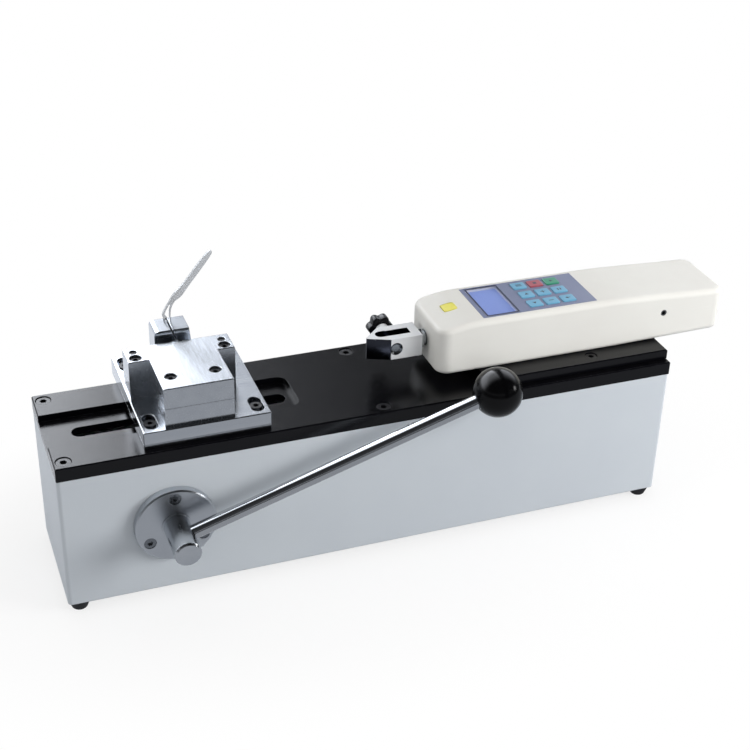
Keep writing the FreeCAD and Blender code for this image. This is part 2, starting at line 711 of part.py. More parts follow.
# Top plate: milled aluminium with a shallow channel, a through slot and sunk screws.
def top_plate():
    body = new_body("top_plate")
    outline = sketch_on(body, "XY_Plane", "housing_top")
    draw_rectangle(outline, "left_end", "front_side", "-left_end", "back_side")
    pad(body, outline, "plate_thick")
    round_off(body, "plate_round", upright)
    round_off(body, "plate_edge", lambda edge: level(edge, "plate_top"), "Chamfer")
    channel = sketch_on(body, "XY_Plane", "plate_top")
    draw_rectangle(channel, "left_end - plate_edge", "-channel_width / 2",
                   "left_end + channel_end", "channel_width / 2")
    pocket(body, channel, "channel_depth")
    round_off(body, "channel_corner", lambda edge: upright(edge)
              and near(edge.CenterOfMass.x, "left_end + channel_end"))
    slot = sketch_on(body, "XY_Plane", "channel_floor")
    draw_rectangle(slot, "left_end + slot_start", "-slot_width / 2",
                   "left_end + slot_end", "slot_width / 2")
    pocket(body, slot, "plate_thick")
    round_off(body, "slot_width / 2 - 0.01", lambda edge: upright(edge)
              and near(abs(edge.CenterOfMass.y), "slot_width / 2"))
    sinks = sketch_on(body, "XY_Plane", "plate_top")
    for x, y in plate_screw_spots():
        draw_circle(sinks, x, y, "sink_radius")
    pocket(body, sinks, "plate_screw_tall + plate_screw_sunk")
    holes = sketch_on(body, "XY_Plane", "plate_top")
    for x, y in plate_screw_spots():
        draw_circle(holes, x, y, "plate_screw_shank + seat_gap")
    for x, y in riser_screw_spots():
        draw_circle(holes, x, y, "riser_screw_shank + seat_gap")
    pocket(body, holes, "plate_thick")
    return body


def riser_screw_spots():
    return [(f"left_end + {along}", f"{side} * riser_screw_side")
            for along in ("riser_screw_left", "riser_screw_right") for side in (-1, 1)]


finish(top_plate(), "top_plate")

finish(set_of("top_plate_screws", [
    socket_screw(f"plate_screw_{i}", x, y, "plate_top - plate_screw_sunk - plate_screw_tall",
                 "plate_screw_shank", "plate_screw_head", "plate_screw_tall",
                 "plate_screw_length")
    for i, (x, y) in enumerate(plate_screw_spots())]), "top_plate_screws")


# Gauge riser: a black plate that lifts the gauge to the height of the wire clamp.
def gauge_riser():
    body = new_body("gauge_riser")
    outline = sketch_on(body, "XY_Plane", "plate_top")
    draw_rectangle(outline, "left_end + riser_start", "-riser_width / 2",
                   "left_end + riser_end", "riser_width / 2")
    pad(body, outline, "riser_thick")
    round_off(body, "plate_edge", lambda edge: level(edge, "riser_top")
              or level(edge, "plate_top"), "Chamfer")
    sinks = sketch_on(body, "XY_Plane", "riser_top")
    for x, y in riser_screw_spots():
        draw_circle(sinks, x, y, "riser_sink_radius")
    pocket(body, sinks, "riser_screw_tall + plate_screw_sunk")
    seats = sketch_on(body, "XY_Plane", "plate_top")
    for x, y in gauge_screw_spots():
        draw_circle(seats, x, y, "gauge_screw_head + seat_gap")
    pocket(body, seats, "gauge_screw_tall", backwards=True)
    holes = sketch_on(body, "XY_Plane", "riser_top")
    for x, y in riser_screw_spots():
        draw_circle(holes, x, y, "riser_screw_shank + seat_gap")
    for x, y in gauge_screw_spots():
        draw_circle(holes, x, y, "gauge_screw_radius + seat_gap")
    pocket(body, holes, "riser_thick")
    return body


def gauge_screw_spots():
    return [(f"left_end + {along}", f"{side} * gauge_screw_side")
            for along in ("gauge_screw_left", "gauge_screw_right") for side in (-1, 1)]


finish(gauge_riser(), "gauge_riser")

finish(set_of("riser_screws", [
    socket_screw(f"riser_screw_{i}", x, y, "riser_top - plate_screw_sunk - riser_screw_tall",
                 "riser_screw_shank", "riser_screw_head", "riser_screw_tall",
                 "riser_screw_length")
    for i, (x, y) in enumerate(riser_screw_spots())]), "riser_screws")


# Shaft flange: a turned steel flange whose spigot centres it in the front wall.
def shaft_flange():
    body = turned("shaft_flange", [
        ("bush_outer", "0"),
        ("flange_radius - flange_edge", "0"),
        ("flange_radius", "flange_edge"),
        ("flange_radius", "flange_thick"),
        ("spigot_radius", "flange_thick"),
        ("spigot_radius", "flange_thick + housing_wall + spigot_length"),
        ("bush_outer", "flange_thick + housing_wall + spigot_length"),
    ], "y")
    place(body, "shaft_line", "flange_face", "shaft_height")
    for depth, radius in (("flange_thick", "flange_screw_shank + seat_gap"),
                          ("flange_screw_tall", "flange_screw_head + seat_gap")):
        holes = sketch_on(body, "XZ_Plane")
        for spot in range(3):
            angle = f"((flange_screw_angle + {spot * 120}) * 1deg)"
            draw_circle(holes, f"flange_screw_ring * cos{angle}",
                        f"flange_screw_ring * sin{angle}", radius)
        pocket(body, holes, depth)
    return body


finish(shaft_flange(), "shaft_flange")


# Flange screws: sunk cap screws with hexagon sockets.
def flange_screw(number):
    x, z = flange_spot(number)
    name = f"flange_screw_{number}"
    blank = fuse(name + "_blank", [
        rod(name + "_head", x, "flange_face + 0.3", z, "flange_screw_head",
            "flange_screw_tall - 0.3", "y"),
        rod(name + "_shank", x, "flange_face + 0.3 + flange_screw_tall / 2", z,
            "flange_screw_shank", "flange_screw_length", "y"),
    ])
    hollow = hexagon(name + "_hex", x, "flange_face", z, "flange_screw_head * hex_share",
                     "flange_screw_tall * 0.6", "y")
    return cut(name, blank, [hollow])


finish(set_of("flange_screws", [flange_screw(i) for i in range(3)]), "flange_screws")


def sleeve(name, x, y, z, inner, outer, length):
    """A plain ring or tube along Y."""
    body = turned(name, [(inner, "0"), (outer, "0"), (outer, length), (inner, length)], "y")
    return place(body, x, y, z)


# Front bush: a bronze sleeve pressed into the flange.
finish(sleeve("front_bush", "shaft_line", "flange_face", "shaft_height", "bush_inner",
              "bush_outer", "bush_end - flange_face"), "front_bush")

# Thrust washer between the hub's shoulder and the flange.
finish(sleeve("thrust_washer", "shaft_line", "hub_back + 0.1", "shaft_height",
              "journal_radius + shaft_gap", "hub_radius + 1", "washer_thick - 0.2"),
       "thrust_washer")


# Rear bearing: a block on the inside of the back wall that carries the shaft's tail.
def rear_bearing():
    return cut("rear_bearing", block(
        "rear_bearing_blank", "shaft_line - bearing_side / 2", "bearing_face",
        "shaft_height - bearing_side / 2", "bearing_side", "bearing_deep", "bearing_side"),
        [rod("rear_bearing_bore", "shaft_line", "bearing_face - 1", "shaft_height",
             "tail_radius + shaft_gap", "bearing_deep + 2", "y")])


finish(rear_bearing(), "rear_bearing")


# Drive shaft: hub, journal and tail turned in one piece, cross-drilled for the lever and pinion.
def drive_shaft():
    body = turned("shaft_turning", [
        ("0", "0"),
        ("hub_radius - hub_edge", "0"),
        ("hub_radius", "hub_edge"),
        ("hub_radius", "hub_back - hub_end"),
        ("journal_radius", "hub_back - hub_end"),
        ("journal_radius", "bush_end + run_gap * 2 - hub_end"),
        ("journal_radius - ring_groove", "bush_end + run_gap * 2 - hub_end"),
        ("journal_radius - ring_groove", "bush_end + run_gap * 4 + ring_thick - hub_end"),
        ("journal_radius", "bush_end + run_gap * 4 + ring_thick - hub_end"),
        ("journal_radius", "bearing_face - run_gap * 2 - hub_end"),
        ("tail_radius", "bearing_face - run_gap * 2 - hub_end"),
        ("tail_radius", "wall_inside - run_gap * 2 - hub_end"),
        ("0", "wall_inside - run_gap * 2 - hub_end"),
    ], "y")
    place(body, "shaft_line", "hub_end", "shaft_height")
    cross = sketch_on(body, "XY_Plane")
    draw_circle(cross, "0", "-hub_end", "pin_radius")
    pocket(body, cross, "hub_radius * 4", both_ways=True)
    return body


def drive_shaft_with_lever_hole():
    socket = rod("lever_socket", "shaft_line", "lever_plane", "shaft_height",
                 "lever_radius", "lever_length", "x")
    aim_lever(socket, "lever_start")
    return cut("drive_shaft", drive_shaft(), [socket])


def aim_lever(thing, start):
    """Turns a piece from Z to the lever's line and moves it along that line."""
    place(thing)
    thing.setExpression("Placement.Rotation.Axis.x", "0")
    thing.setExpression("Placement.Rotation.Axis.y", "1")
    thing.setExpression("Placement.Rotation.Axis.z", "0")
    thing.setExpression("Placement.Rotation.Angle", linked("90 - lever_rise"))
    along = f"({start})"
    thing.setExpression("Placement.Base.x",
                        linked(f"shaft_line + {along} * cos(lever_rise * 1deg)"))
    thing.setExpression("Placement.Base.y", linked("lever_plane"))
    thing.setExpression("Placement.Base.z",
                        linked(f"shaft_height + {along} * sin(lever_rise * 1deg)"))
    return thing


finish(drive_shaft_with_lever_hole(), "drive_shaft")


# Retaining ring behind the bush: an open ring sprung into the shaft's groove.
def retaining_ring():
    ring = sleeve("ring_blank", "shaft_line", "bush_end + run_gap * 3", "shaft_height",
                  "journal_radius - ring_groove", "journal_radius + ring_rim", "ring_thick")
    gap = block("ring_mouth", "shaft_line - journal_radius / 3", "bush_end",
                "shaft_height - journal_radius * 2", "journal_radius * 2 / 3",
                "ring_thick * 4", "journal_radius * 2")
    return cut("retaining_ring", ring, [gap])


finish(retaining_ring(), "retaining_ring")


# Lever rod and ball: a chromed rod let into the hub, with a moulded ball screwed on its end.
def lever_rod():
    body = turned("lever_rod", [
        ("0", "0"),
        ("lever_radius", "0"),
        ("lever_radius", "lever_length - ball_radius + lever_grip - lever_start - 1"),
        ("lever_radius - 1", "lever_length - ball_radius + lever_grip - lever_start"),
        ("0", "lever_length - ball_radius + lever_grip - lever_start"),
    ], "z")
    return aim_lever(body, "lever_start")


finish(lever_rod(), "lever_rod")


def ball_knob():
    ball = doc.addObject("Part::Sphere", "ball_blank")
    bind(ball, Radius="ball_radius")
    aim_lever(ball, "lever_length")
    hole = rod("ball_hole", "0", "0", "0", "lever_radius", "ball_radius")
    aim_lever(hole, "lever_length - ball_radius - (ball_radius - lever_grip)")
    facing = rod("ball_facing", "0", "0", "0", "ball_radius", "ball_radius")
    aim_lever(facing, "lever_length - 2 * ball_radius + ball_flat")
    return cut("ball_knob", ball, [hole, facing])


finish(ball_knob(), "ball_knob")


# Pinion and rack: straight-flanked teeth with room between the flanks.
def tooth_half(offset):
    """Half the thickness of a tooth at a height above its pitch line."""
    module = worth("tooth_module")
    slope = math.tan(math.radians(worth("tooth_slope")))
    return module * math.pi / 4 - worth("tooth_play") / 2 - offset * slope


def pinion():
    module = worth("tooth_module")
    count = int(worth("tooth_count"))
    radius = worth("pitch_radius")
    points = []
    for tooth in range(count):
        middle = 2 * math.pi * (tooth + 0.5) / count + math.pi / 2
        for side, offset in ((-1, -1.25), (-1, 0), (-1, 0.9), (1, 0.9), (1, 0), (1, -1.25)):
            reach = radius + offset * module
            half = tooth_half(offset * module) if offset <= 0 else tooth_half(offset * module) * 0.9
            turn = middle + side * half / reach
            points.append(FreeCAD.Vector(reach * math.cos(turn), 0, reach * math.sin(turn)))
    points.append(points[0])
    disc = Part.Face(Part.makePolygon(points)).extrude(
        FreeCAD.Vector(0, worth("pinion_width"), 0))
    bore = Part.makeCylinder(worth("journal_radius"), worth("pinion_width"),
                             FreeCAD.Vector(), FreeCAD.Vector(0, 1, 0))
    pin_hole = Part.makeCylinder(
        worth("pin_radius"), worth("2 * pitch_radius + 10"),
        FreeCAD.Vector(0, worth("pinion_width / 2"), -worth("pitch_radius + 5")))
    thing = doc.addObject("Part::Feature", "pinion")
    thing.Shape = disc.cut(bore).cut(pin_hole)
    return place(thing, "shaft_line", "-pinion_width / 2", "shaft_height")


finish(pinion(), "pinion")

finish(rod("pinion_pin", "shaft_line", "0", "shaft_height - pin_reach", "pin_radius",
           "pin_reach * 2"), "pinion_pin")


def rack():
    module = worth("tooth_module")
    pitch = worth("tooth_pitch")
    count = int(worth("rack_teeth"))
    first = round((worth("rack_start - shaft_place")) / pitch)
    points = []
    for tooth in range(first, first + count):
        middle = tooth * pitch
        for side, offset in ((-1, -1.25), (-1, 0.9), (1, 0.9), (1, -1.25)):
            half = tooth_half(offset * module)
            points.append(FreeCAD.Vector(middle + side * half, 0, -offset * module))
    back = worth("rack_top - pitch_line")
    end = (first + count - 0.5) * pitch
    start = (first - 0.5) * pitch
    root = 1.25 * module
    points.append(FreeCAD.Vector(end, 0, root))
    points.append(FreeCAD.Vector(end, 0, back))
    points.append(FreeCAD.Vector(start, 0, back))
    points.append(FreeCAD.Vector(start, 0, root))
    points.append(points[0])
    bar = Part.Face(Part.makePolygon(points)).extrude(
        FreeCAD.Vector(0, worth("rack_width"), 0))
    for x, y in rack_screw_spots():
        foot = FreeCAD.Vector(worth(f"{x} - shaft_line"), worth("rack_width / 2"), -2 * back)
        bar = bar.cut(Part.makeCylinder(worth("neck_screw_radius + seat_gap"), 4 * back, foot))
        bar = bar.cut(Part.makeCylinder(worth("neck_screw_head + seat_gap"),
                                        2 * back + root + worth("neck_screw_tall"), foot))
    thing = doc.addObject("Part::Feature", "rack")
    thing.Shape = bar
    return place(thing, "shaft_line", "-rack_width / 2", "pitch_line")


def rack_screw_spots():
    return [(f"left_end + neck_start + neck_length * {share}", "0") for share in (0.2, 0.8)]


finish(rack(), "rack")

finish(set_of("rack_screws", [
    fuse(f"rack_screw_{i}", [
        rod(f"rack_screw_head_{i}", x, y, "rack_roots", "neck_screw_head", "neck_screw_tall"),
        rod(f"rack_screw_shank_{i}", x, y, "rack_roots + neck_screw_tall / 2",
            "neck_screw_radius", "neck_screw_length"),
    ]) for i, (x, y) in enumerate(rack_screw_spots())]), "rack_screws")


# Slide shoe: runs in the channel, with a neck that passes the slot and carries the rack.
def slide_shoe():
    shoe = block("shoe_pad", "left_end + shoe_start", "-channel_width / 2 + run_gap", "shoe_low",
                 "shoe_length", "channel_width - 2 * run_gap", "slide_low - shoe_low")
    neck = block("shoe_neck", "left_end + neck_start", "-slot_width / 2 + run_gap * 2",
                 "rack_top", "neck_length", "slot_width - 4 * run_gap",
                 "shoe_low - rack_top + 1")
    threads = [rod(f"shoe_thread_{i}", x, y, "rack_top - 1", "neck_screw_radius + seat_gap",
                   "neck_screw_length - rack_back + 4")
               for i, (x, y) in enumerate(rack_screw_spots())]
    return cut("slide_shoe", fuse("shoe_blank", [shoe, neck]), threads)


finish(slide_shoe(), "slide_shoe")


def stack_rectangle(sketch):
    draw_rectangle(sketch, "stack_left", "-stack_front", "stack_left + stack_length",
                   "stack_back")


def cross_spots():
    """Centres of the four slots and of the screws in them."""
    return [(x, y) for x in ("stack_left + cross_inset_end",
                             "stack_left + stack_length - cross_inset_end")
            for y in ("cross_slot_front - stack_front", "stack_back - cross_slot_back")]


# Slide plate: thin ground steel on the rails, fastened on the shoe.
def slide_plate():
    body = new_body("slide_plate")
    outline = sketch_on(body, "XY_Plane", "slide_low")
    stack_rectangle(outline)
    pad(body, outline, "slide_thick")
    holes = sketch_on(body, "XY_Plane", "cross_low")
    for x, y in cross_spots():
        draw_circle(holes, x, y, "cross_screw_shank + seat_gap")
    pocket(body, holes, "slide_thick")
    round_off(body, "stack_edge", upright, "Chamfer")
    return body


finish(slide_plate(), "slide_plate")


def draw_slot(sketch, x, y, radius, length):
    """A slot along Y with round ends."""
    reach = f"({length}) / 2 - ({radius})"
    a, r = worth(x), worth(radius)
    low, high = worth(f"({y}) - ({reach})"), worth(f"({y}) + ({reach})")
    up = FreeCAD.Vector(0, 0, 1)
    lower = sketch.addGeometry(Part.ArcOfCircle(
        Part.Circle(FreeCAD.Vector(a, low, 0), up, r), math.pi, 2 * math.pi))
    upper = sketch.addGeometry(Part.ArcOfCircle(
        Part.Circle(FreeCAD.Vector(a, high, 0), up, r), 0, math.pi))
    right = sketch.addGeometry(Part.LineSegment(
        FreeCAD.Vector(a + r, low, 0), FreeCAD.Vector(a + r, high, 0)))
    left = sketch.addGeometry(Part.LineSegment(
        FreeCAD.Vector(a - r, high, 0), FreeCAD.Vector(a - r, low, 0)))
    for one, end, other, start in ((lower, 2, right, 1), (right, 2, upper, 1),
                                   (upper, 2, left, 1), (left, 2, lower, 1)):
        sketch.addConstraint(Sketcher.Constraint("Tangent", one, end, other, start))
    for arc, middle in ((lower, f"({y}) - ({reach})"), (upper, f"({y}) + ({reach})")):
        tie(sketch, "DistanceX", arc, 3, x)
        tie(sketch, "DistanceY", arc, 3, middle)
    spot = sketch.addConstraint(Sketcher.Constraint("Radius", lower, r))
    sketch.setExpression(f"Constraints[{spot}]", linked(radius))


# Cross plate: polished steel with four stepped slots, so that the clamp can be set across.
def cross_plate():
    body = new_body("cross_plate")
    outline = sketch_on(body, "XY_Plane", "cross_low")
    stack_rectangle(outline)
    pad(body, outline, "cross_thick")
    round_off(body, "stack_edge", lambda edge: upright(edge) or level(edge, "cross_top"),
              "Chamfer")
    wide = sketch_on(body, "XY_Plane", "cross_top")
    for x, y in cross_spots():
        draw_slot(wide, x, y, "cross_slot_radius", "cross_slot_length")
    pocket(body, wide, "cross_slot_deep")
    narrow = sketch_on(body, "XY_Plane", "cross_top")
    for x, y in cross_spots():
        draw_slot(narrow, x, y, "cross_screw_shank + 0.3",
                  "cross_slot_length - 2 * cross_slot_radius + 2 * cross_screw_shank + 0.6")
    pocket(body, narrow, "cross_thick")
    return body


finish(cross_plate(), "cross_plate")

finish(set_of("cross_plate_screws", [
    socket_screw(f"cross_screw_{i}", x, y, "cross_top - cross_slot_deep + 0.1",
                 "cross_screw_shank", "cross_screw_head", "cross_screw_tall",
                 "cross_thick - cross_slot_deep + slide_thick")
    for i, (x, y) in enumerate(cross_spots())]), "cross_plate_screws")


# Clamp tower: two T-shaped steel blocks bolted down on the cross plate.
def stem_screw_spots():
    return [(x, "stem_screw_front - tower_front")
            for x in ("left_end + stem_start + stem_screw_inset",
                      "left_end + stem_start + stem_length - stem_screw_inset")]


def head_spots(from_front):
    return [(x, f"head_front + {from_front}")
            for x in ("left_end + head_start + head_screw_inset",
                      "left_end + head_start + head_length - head_screw_inset")]


def tower_block(name, low, tall):
    body = new_body(name)
    outline = sketch_on(body, "XY_Plane", low)
    stem_left, stem_right = "left_end + stem_start", "left_end + stem_start + stem_length"
    head_left, head_right = "left_end + head_start", "left_end + head_start + head_length"
    back = "head_front + head_depth"
    draw_outline(outline, [
        (stem_left, "-tower_front"), (stem_right, "-tower_front"), (stem_right, "head_front"),
        (head_right, "head_front"), (head_right, back), (head_left, back),
        (head_left, "head_front"), (stem_left, "head_front")])
    pad(body, outline, tall)
    return body


def drill(body, top, depth, spots, radius):
    holes = sketch_on(body, "XY_Plane", top)
    for x, y in spots:
        draw_circle(holes, x, y, radius)
    pocket(body, holes, depth)


def tower_lower_block():
    body = tower_block("tower_lower_block", "cross_top", "lower_tall")
    drill(body, "parting", "lower_tall", stem_screw_spots() + head_spots("head_screw_front"),
          "tower_screw_shank + seat_gap")
    drill(body, "parting", "lower_tall / 2", head_spots("dowel_front"), "dowel_radius")
    return body


def tower_upper_block():
    body = tower_block("tower_upper_block", "parting", "upper_tall")
    round_off(body, "tower_edge", lambda edge: level(edge, "tower_top"), "Chamfer")
    screws = stem_screw_spots() + head_spots("head_screw_front")
    drill(body, "tower_top", "tower_screw_tall + tower_screw_sunk", screws, "tower_sink_radius")
    drill(body, "tower_top", "upper_tall", screws, "tower_screw_shank + seat_gap")
    drill(body, "tower_top", "upper_tall", head_spots("dowel_front"), "dowel_radius")
    return body


finish(tower_lower_block(), "tower_lower_block")
finish(tower_upper_block(), "tower_upper_block")

finish(set_of("tower_screws", [
    socket_screw(f"tower_screw_{i}", x, y, "tower_top - tower_screw_sunk - tower_screw_tall",
                 "tower_screw_shank", "tower_screw_head", "tower_screw_tall",
                 "lower_tall + upper_tall - tower_screw_tall - tower_screw_sunk - 1")
    for i, (x, y) in enumerate(stem_screw_spots() + head_spots("head_screw_front"))]),
    "tower_screws")

finish(set_of("tower_dowels", [
    rod(f"tower_dowel_{i}", x, y, "parting - lower_tall / 2", "dowel_radius",
        "lower_tall / 2 + upper_tall - dowel_sunk")
    for i, (x, y) in enumerate(head_spots("dowel_front"))]), "tower_dowels")


# Jaw bed: a grooved block behind the tower that carries the two wire jaws.
def jaw_bed():
    return cut("jaw_bed", block("bed_blank", "left_end + bed_start", "bed_front", "cross_top",
                                "bed_length", "bed_depth", "bed_tall"),
               [block("bed_groove", "left_end + jaw_meet + jaw_space",
                      "jaw_front + jaw_depth / 2 - groove_width / 2", "bed_top - groove_deep",
                      "bed_length", "groove_width", "groove_deep * 2")])


finish(jaw_bed(), "jaw_bed")


# Wire jaws: the left one is fixed, the right one slides on the bed with a key in the groove.
def jaw_outline(name, points):
    body = new_body(name)
    outline = sketch_on(body, "XZ_Plane", "-jaw_front")
    draw_outline(outline, points)
    pad(body, outline, "jaw_depth", backwards=True)
    return body


def fixed_jaw():
    left, meet = "left_end + jaw_left", "left_end + jaw_meet"
    body = jaw_outline("fixed_jaw", [
        (left, "bed_top"), (meet, "bed_top"), (meet, "jaw_top - jaw_lean_tall"),
        (f"{meet} - jaw_lean", "jaw_top"), (left, "jaw_top")])
    round_off(body, "jaw_round", lambda edge: near(edge.CenterOfMass.x, left)
              and level(edge, "jaw_top"))
    thread = sketch_on(body, "XZ_Plane", "-jaw_back")
    draw_circle(thread, "pivot_line", "pivot_level", "pivot_radius")
    pocket(body, thread, "pivot_grip", backwards=True)
    return body


finish(fixed_jaw(), "fixed_jaw")


def moving_jaw():
    right, meet = "left_end + jaw_right", "left_end + jaw_meet + jaw_space"
    low = "bed_top + run_gap"
    body = jaw_outline("moving_jaw_upper", [
        (meet, low), (right, low), (right, "jaw_top - jaw_lean_tall"),
        (f"{right} - jaw_crown", "jaw_top"), (f"{meet} - jaw_lean", "jaw_top"),
        (meet, "jaw_top - jaw_lean_tall")])
    key = block("jaw_key", f"{meet} + run_gap",
                "jaw_front + jaw_depth / 2 - groove_width / 2 + run_gap",
                "bed_top - groove_deep + run_gap", "jaw_right - jaw_meet - jaw_space - 1",
                "groove_width - 2 * run_gap", "groove_deep + 1")
    follower = rod("jaw_follower", follower_line(), "jaw_back - 1", "pivot_level",
                   "follower_radius", "blade_thick + 1.5", "y")
    return fuse("moving_jaw", [body, key, follower])


def follower_line():
    return "pivot_line + disc_radius + follower_radius + run_gap * 3"


finish(moving_jaw(), "moving_jaw")


# Clamp lever: a bent stamping whose cam pushes the moving jaw open as it is swung down.
# Offsets from the pivot to the right and up, along the blade's left edge and back.
BLADE_LEFT = [(-2.5, 7), (1.6, 11), (2.3, 14.6), (-0.6, 19.4), (4.8, 29.2), (8.5, 34.8),
              (15.9, 42.2), (27, 56), (33.6, 63.2)]
BLADE_RIGHT = [(35.4, 64), (35.9, 61.5), (29, 51.9), (18.9, 39.3), (13.5, 32.3), (8, 28),
               (5.3, 20.6), (5.3, 8)]


def clamp_lever():
    radius = worth("disc_radius")
    lift = worth("jaw_travel")
    turn = worth("lobe_turn")
    cam = []
    for step in range(0, 11):
        share = step / 10
        reach = radius + lift * share
        angle = math.radians(turn * share)
        cam.append(FreeCAD.Vector(reach * math.cos(angle), 0, reach * math.sin(angle)))
    low = []
    for step in range(1, 12):
        angle = math.radians(-step * 180 / 12)
        low.append(FreeCAD.Vector(radius * math.cos(angle), 0, radius * math.sin(angle)))
    left = [FreeCAD.Vector(a, 0, b) for a, b in BLADE_LEFT]
    right = [FreeCAD.Vector(a, 0, b) for a, b in BLADE_RIGHT]
    outline = low + [FreeCAD.Vector(-radius, 0, 0)] + left + right + cam[::-1]
    outline.append(outline[0])
    thick = FreeCAD.Vector(0, worth("blade_thick"), 0)
    blade = Part.Face(Part.makePolygon(outline)).extrude(thick)
    hole = Part.makeCylinder(worth("pivot_radius + shaft_gap"), worth("blade_thick"),
                             FreeCAD.Vector(), FreeCAD.Vector(0, 1, 0))
    thing = doc.addObject("Part::Feature", "clamp_lever")
    thing.Shape = blade.cut(hole)
    return place(thing, "pivot_line", "blade_front", "pivot_level")


finish(clamp_lever(), "clamp_lever")

finish(fuse("lever_pivot", [
    rod("pivot_shoulder", "pivot_line", "jaw_back - pivot_grip", "pivot_level", "pivot_radius",
        "pivot_grip + blade_thick + run_gap * 2 + 0.5", "y"),
    rod("pivot_cap", "pivot_line", "blade_front + blade_thick + run_gap", "pivot_level",
        "pivot_head", "pivot_head_tall", "y"),
]), "lever_pivot")


# Measuring shaft: leaves the gauge's nose and screws into the terminal block.
finish(rod("measuring_shaft", "left_end + pocket_end", "0", "pull_level", "shaft_thick",
           "cell_start - pocket_end", "x"), "measuring_shaft")

finish(cut("lock_nut", hexagon("nut_blank", "left_end + block_end", "0", "pull_level",
                               "nut_radius", "nut_thick", "x"),
           [rod("nut_bore", "left_end + block_end - 1", "0", "pull_level", "shaft_thick",
                "nut_thick + 2", "x")]), "lock_nut")


# Terminal block: a wedge-ended steel block with a slot for the terminal and a cross pin.
def terminal_block():
    body = new_body("terminal_block_milled")
    outline = sketch_on(body, "XY_Plane", "block_low")
    left, right = "left_end + block_start", "left_end + block_end"
    draw_outline(outline, [
        (left, "-tip_front"), (f"{left} + wedge_length", "-block_width / 2"),
        (right, "-block_width / 2"), (right, "block_width / 2"),
        (f"{left} + wedge_back", "block_width / 2"), (left, "tip_width - tip_front")])
    pad(body, outline, "block_tall")
    slot = sketch_on(body, "XY_Plane", "block_top")
    draw_rectangle(slot, "left_end + pocket_start", "-pocket_width / 2",
                   "left_end + pocket_end", "pocket_width / 2")
    pocket(body, slot, "pocket_deep")
    round_off(body, "pocket_width / 2 - 0.01", lambda edge: upright(edge)
              and near(edge.CenterOfMass.x, "left_end + pocket_start"))
    boss = sketch_on(body, "XZ_Plane", "-block_width / 2 - boss_length")
    draw_circle(boss, "pin_line", "pull_level", "boss_radius")
    pad(body, boss, "boss_length")
    cross = sketch_on(body, "XZ_Plane", "block_width / 2")
    draw_circle(cross, "pin_line", "pull_level", "cross_pin_radius + shaft_gap")
    pocket(body, cross, "block_width / 2 + pocket_width / 2")
    thread = sketch_on(body, "XZ_Plane", "-block_width / 2 - boss_length")
    draw_circle(thread, "pin_line", "pull_level", "thumb_radius + shaft_gap")
    pocket(body, thread, "block_width / 2 + boss_length - pocket_width / 2", backwards=True)
    shaft_hole = sketch_on(body, "YZ_Plane", "left_end + block_end")
    draw_circle(shaft_hole, "0", "pull_level", "shaft_thick")
    pocket(body, shaft_hole, "block_end - pocket_end")
    mouth = doc.addObject("Part::Cone", "cross_pin_mouth")
    bind(mouth, Radius1="cross_pin_radius + cross_mouth", Radius2="cross_pin_radius",
         Height="cross_mouth")
    place(mouth, "pin_line", "-block_width / 2", "pull_level", "y")
    return cut("terminal_block", body, [mouth])


finish(terminal_block(), "terminal_block")

# Cross pin: passes the slot and enters the front wall; the thumb screw behind it draws it out.
finish(rod("cross_pin", "pin_line", "-block_width / 2 + cross_pin_short", "pull_level",
           "cross_pin_radius", "block_width / 2 - cross_pin_short + pocket_width / 2 + 0.1", "y"),
       "cross_pin")

# Thumb screw: its shank runs in the threaded boss, and a collar carries the knob.
finish(fuse("thumb_screw", [
    rod("thumb_shank", "pin_line", "pocket_width / 2 + 0.2", "pull_level", "thumb_radius",
        "knob_face + knob_thick * 0.7 - pocket_width / 2 - 0.2", "y"),
    rod("thumb_collar", "pin_line", "knob_face - collar_length", "pull_level",
        "collar_radius", "collar_length", "y"),
]), "thumb_screw")


# Thumb knob: a moulded hub with round lobes.
def thumb_knob():
    hub = rod("knob_hub", "pin_line", "knob_face", "pull_level", "knob_radius",
              "knob_thick", "y")
    lobes = []
    for lobe in range(int(worth("knob_lobes"))):
        angle = f"({lobe} * 360 / knob_lobes * 1deg)"
        lobes.append(rod(f"knob_lobe_{lobe}", f"pin_line + knob_radius * cos{angle}",
                         "knob_face", f"pull_level + knob_radius * sin{angle}",
                         "lobe_radius", "knob_thick", "y"))
    bore = rod("knob_bore", "pin_line", "knob_face - 1", "pull_level", "thumb_radius",
               "knob_thick * 0.7 + 1", "y")
    return cut("thumb_knob", fuse("knob_blank", [hub] + lobes), [bore])


finish(thumb_knob(), "thumb_knob")


# Gauge case: two moulded halves that meet at a level seam.
def case_half(name, outline, edge_round):
    """A half of the case from its side outline, with its upright and its free edges rounded."""
    side = Part.Face(Part.Wire(outline))
    width = worth("gauge_width")
    solid = side.extrude(FreeCAD.Vector(0, width, 0))
    solid.translate(FreeCAD.Vector(0, -width / 2, 0))
    corner = worth("case_corner")
    for end, radius in (("nose", corner), ("rear", worth("tail_corner"))):
        solid = solid.makeFillet(radius, [edge for edge in solid.Edges if upright(edge)
                                          and near(edge.CenterOfMass.x, end)])
    blank = doc.addObject("Part::Feature", name + "_blank")
    blank.Shape = solid
    seam = worth("seam")
    slack = 0.1
    end_zone = 1
    free = []
    for number, edge in enumerate(solid.Edges, 1):
        box = edge.BoundBox
        at_seam = max(abs(box.ZMin - seam), abs(box.ZMax - seam)) < slack
        across = box.YLength > width - 2 * corner - slack
        inland = box.XMin > worth("nose") + end_zone and box.XMax < worth("rear") - end_zone
        if not (at_seam or upright(edge) or (across and inland)):
            free.append((number, edge_round, edge_round))
    rounding = doc.addObject("Part::Fillet", name)
    rounding.Base = blank
    rounding.Edges = free
    doc.recompute()
    return rounding


def spot(x, z):
    return FreeCAD.Vector(worth(x), 0, worth(z))


def straight(first, last):
    return Part.LineSegment(first, last).toShape()


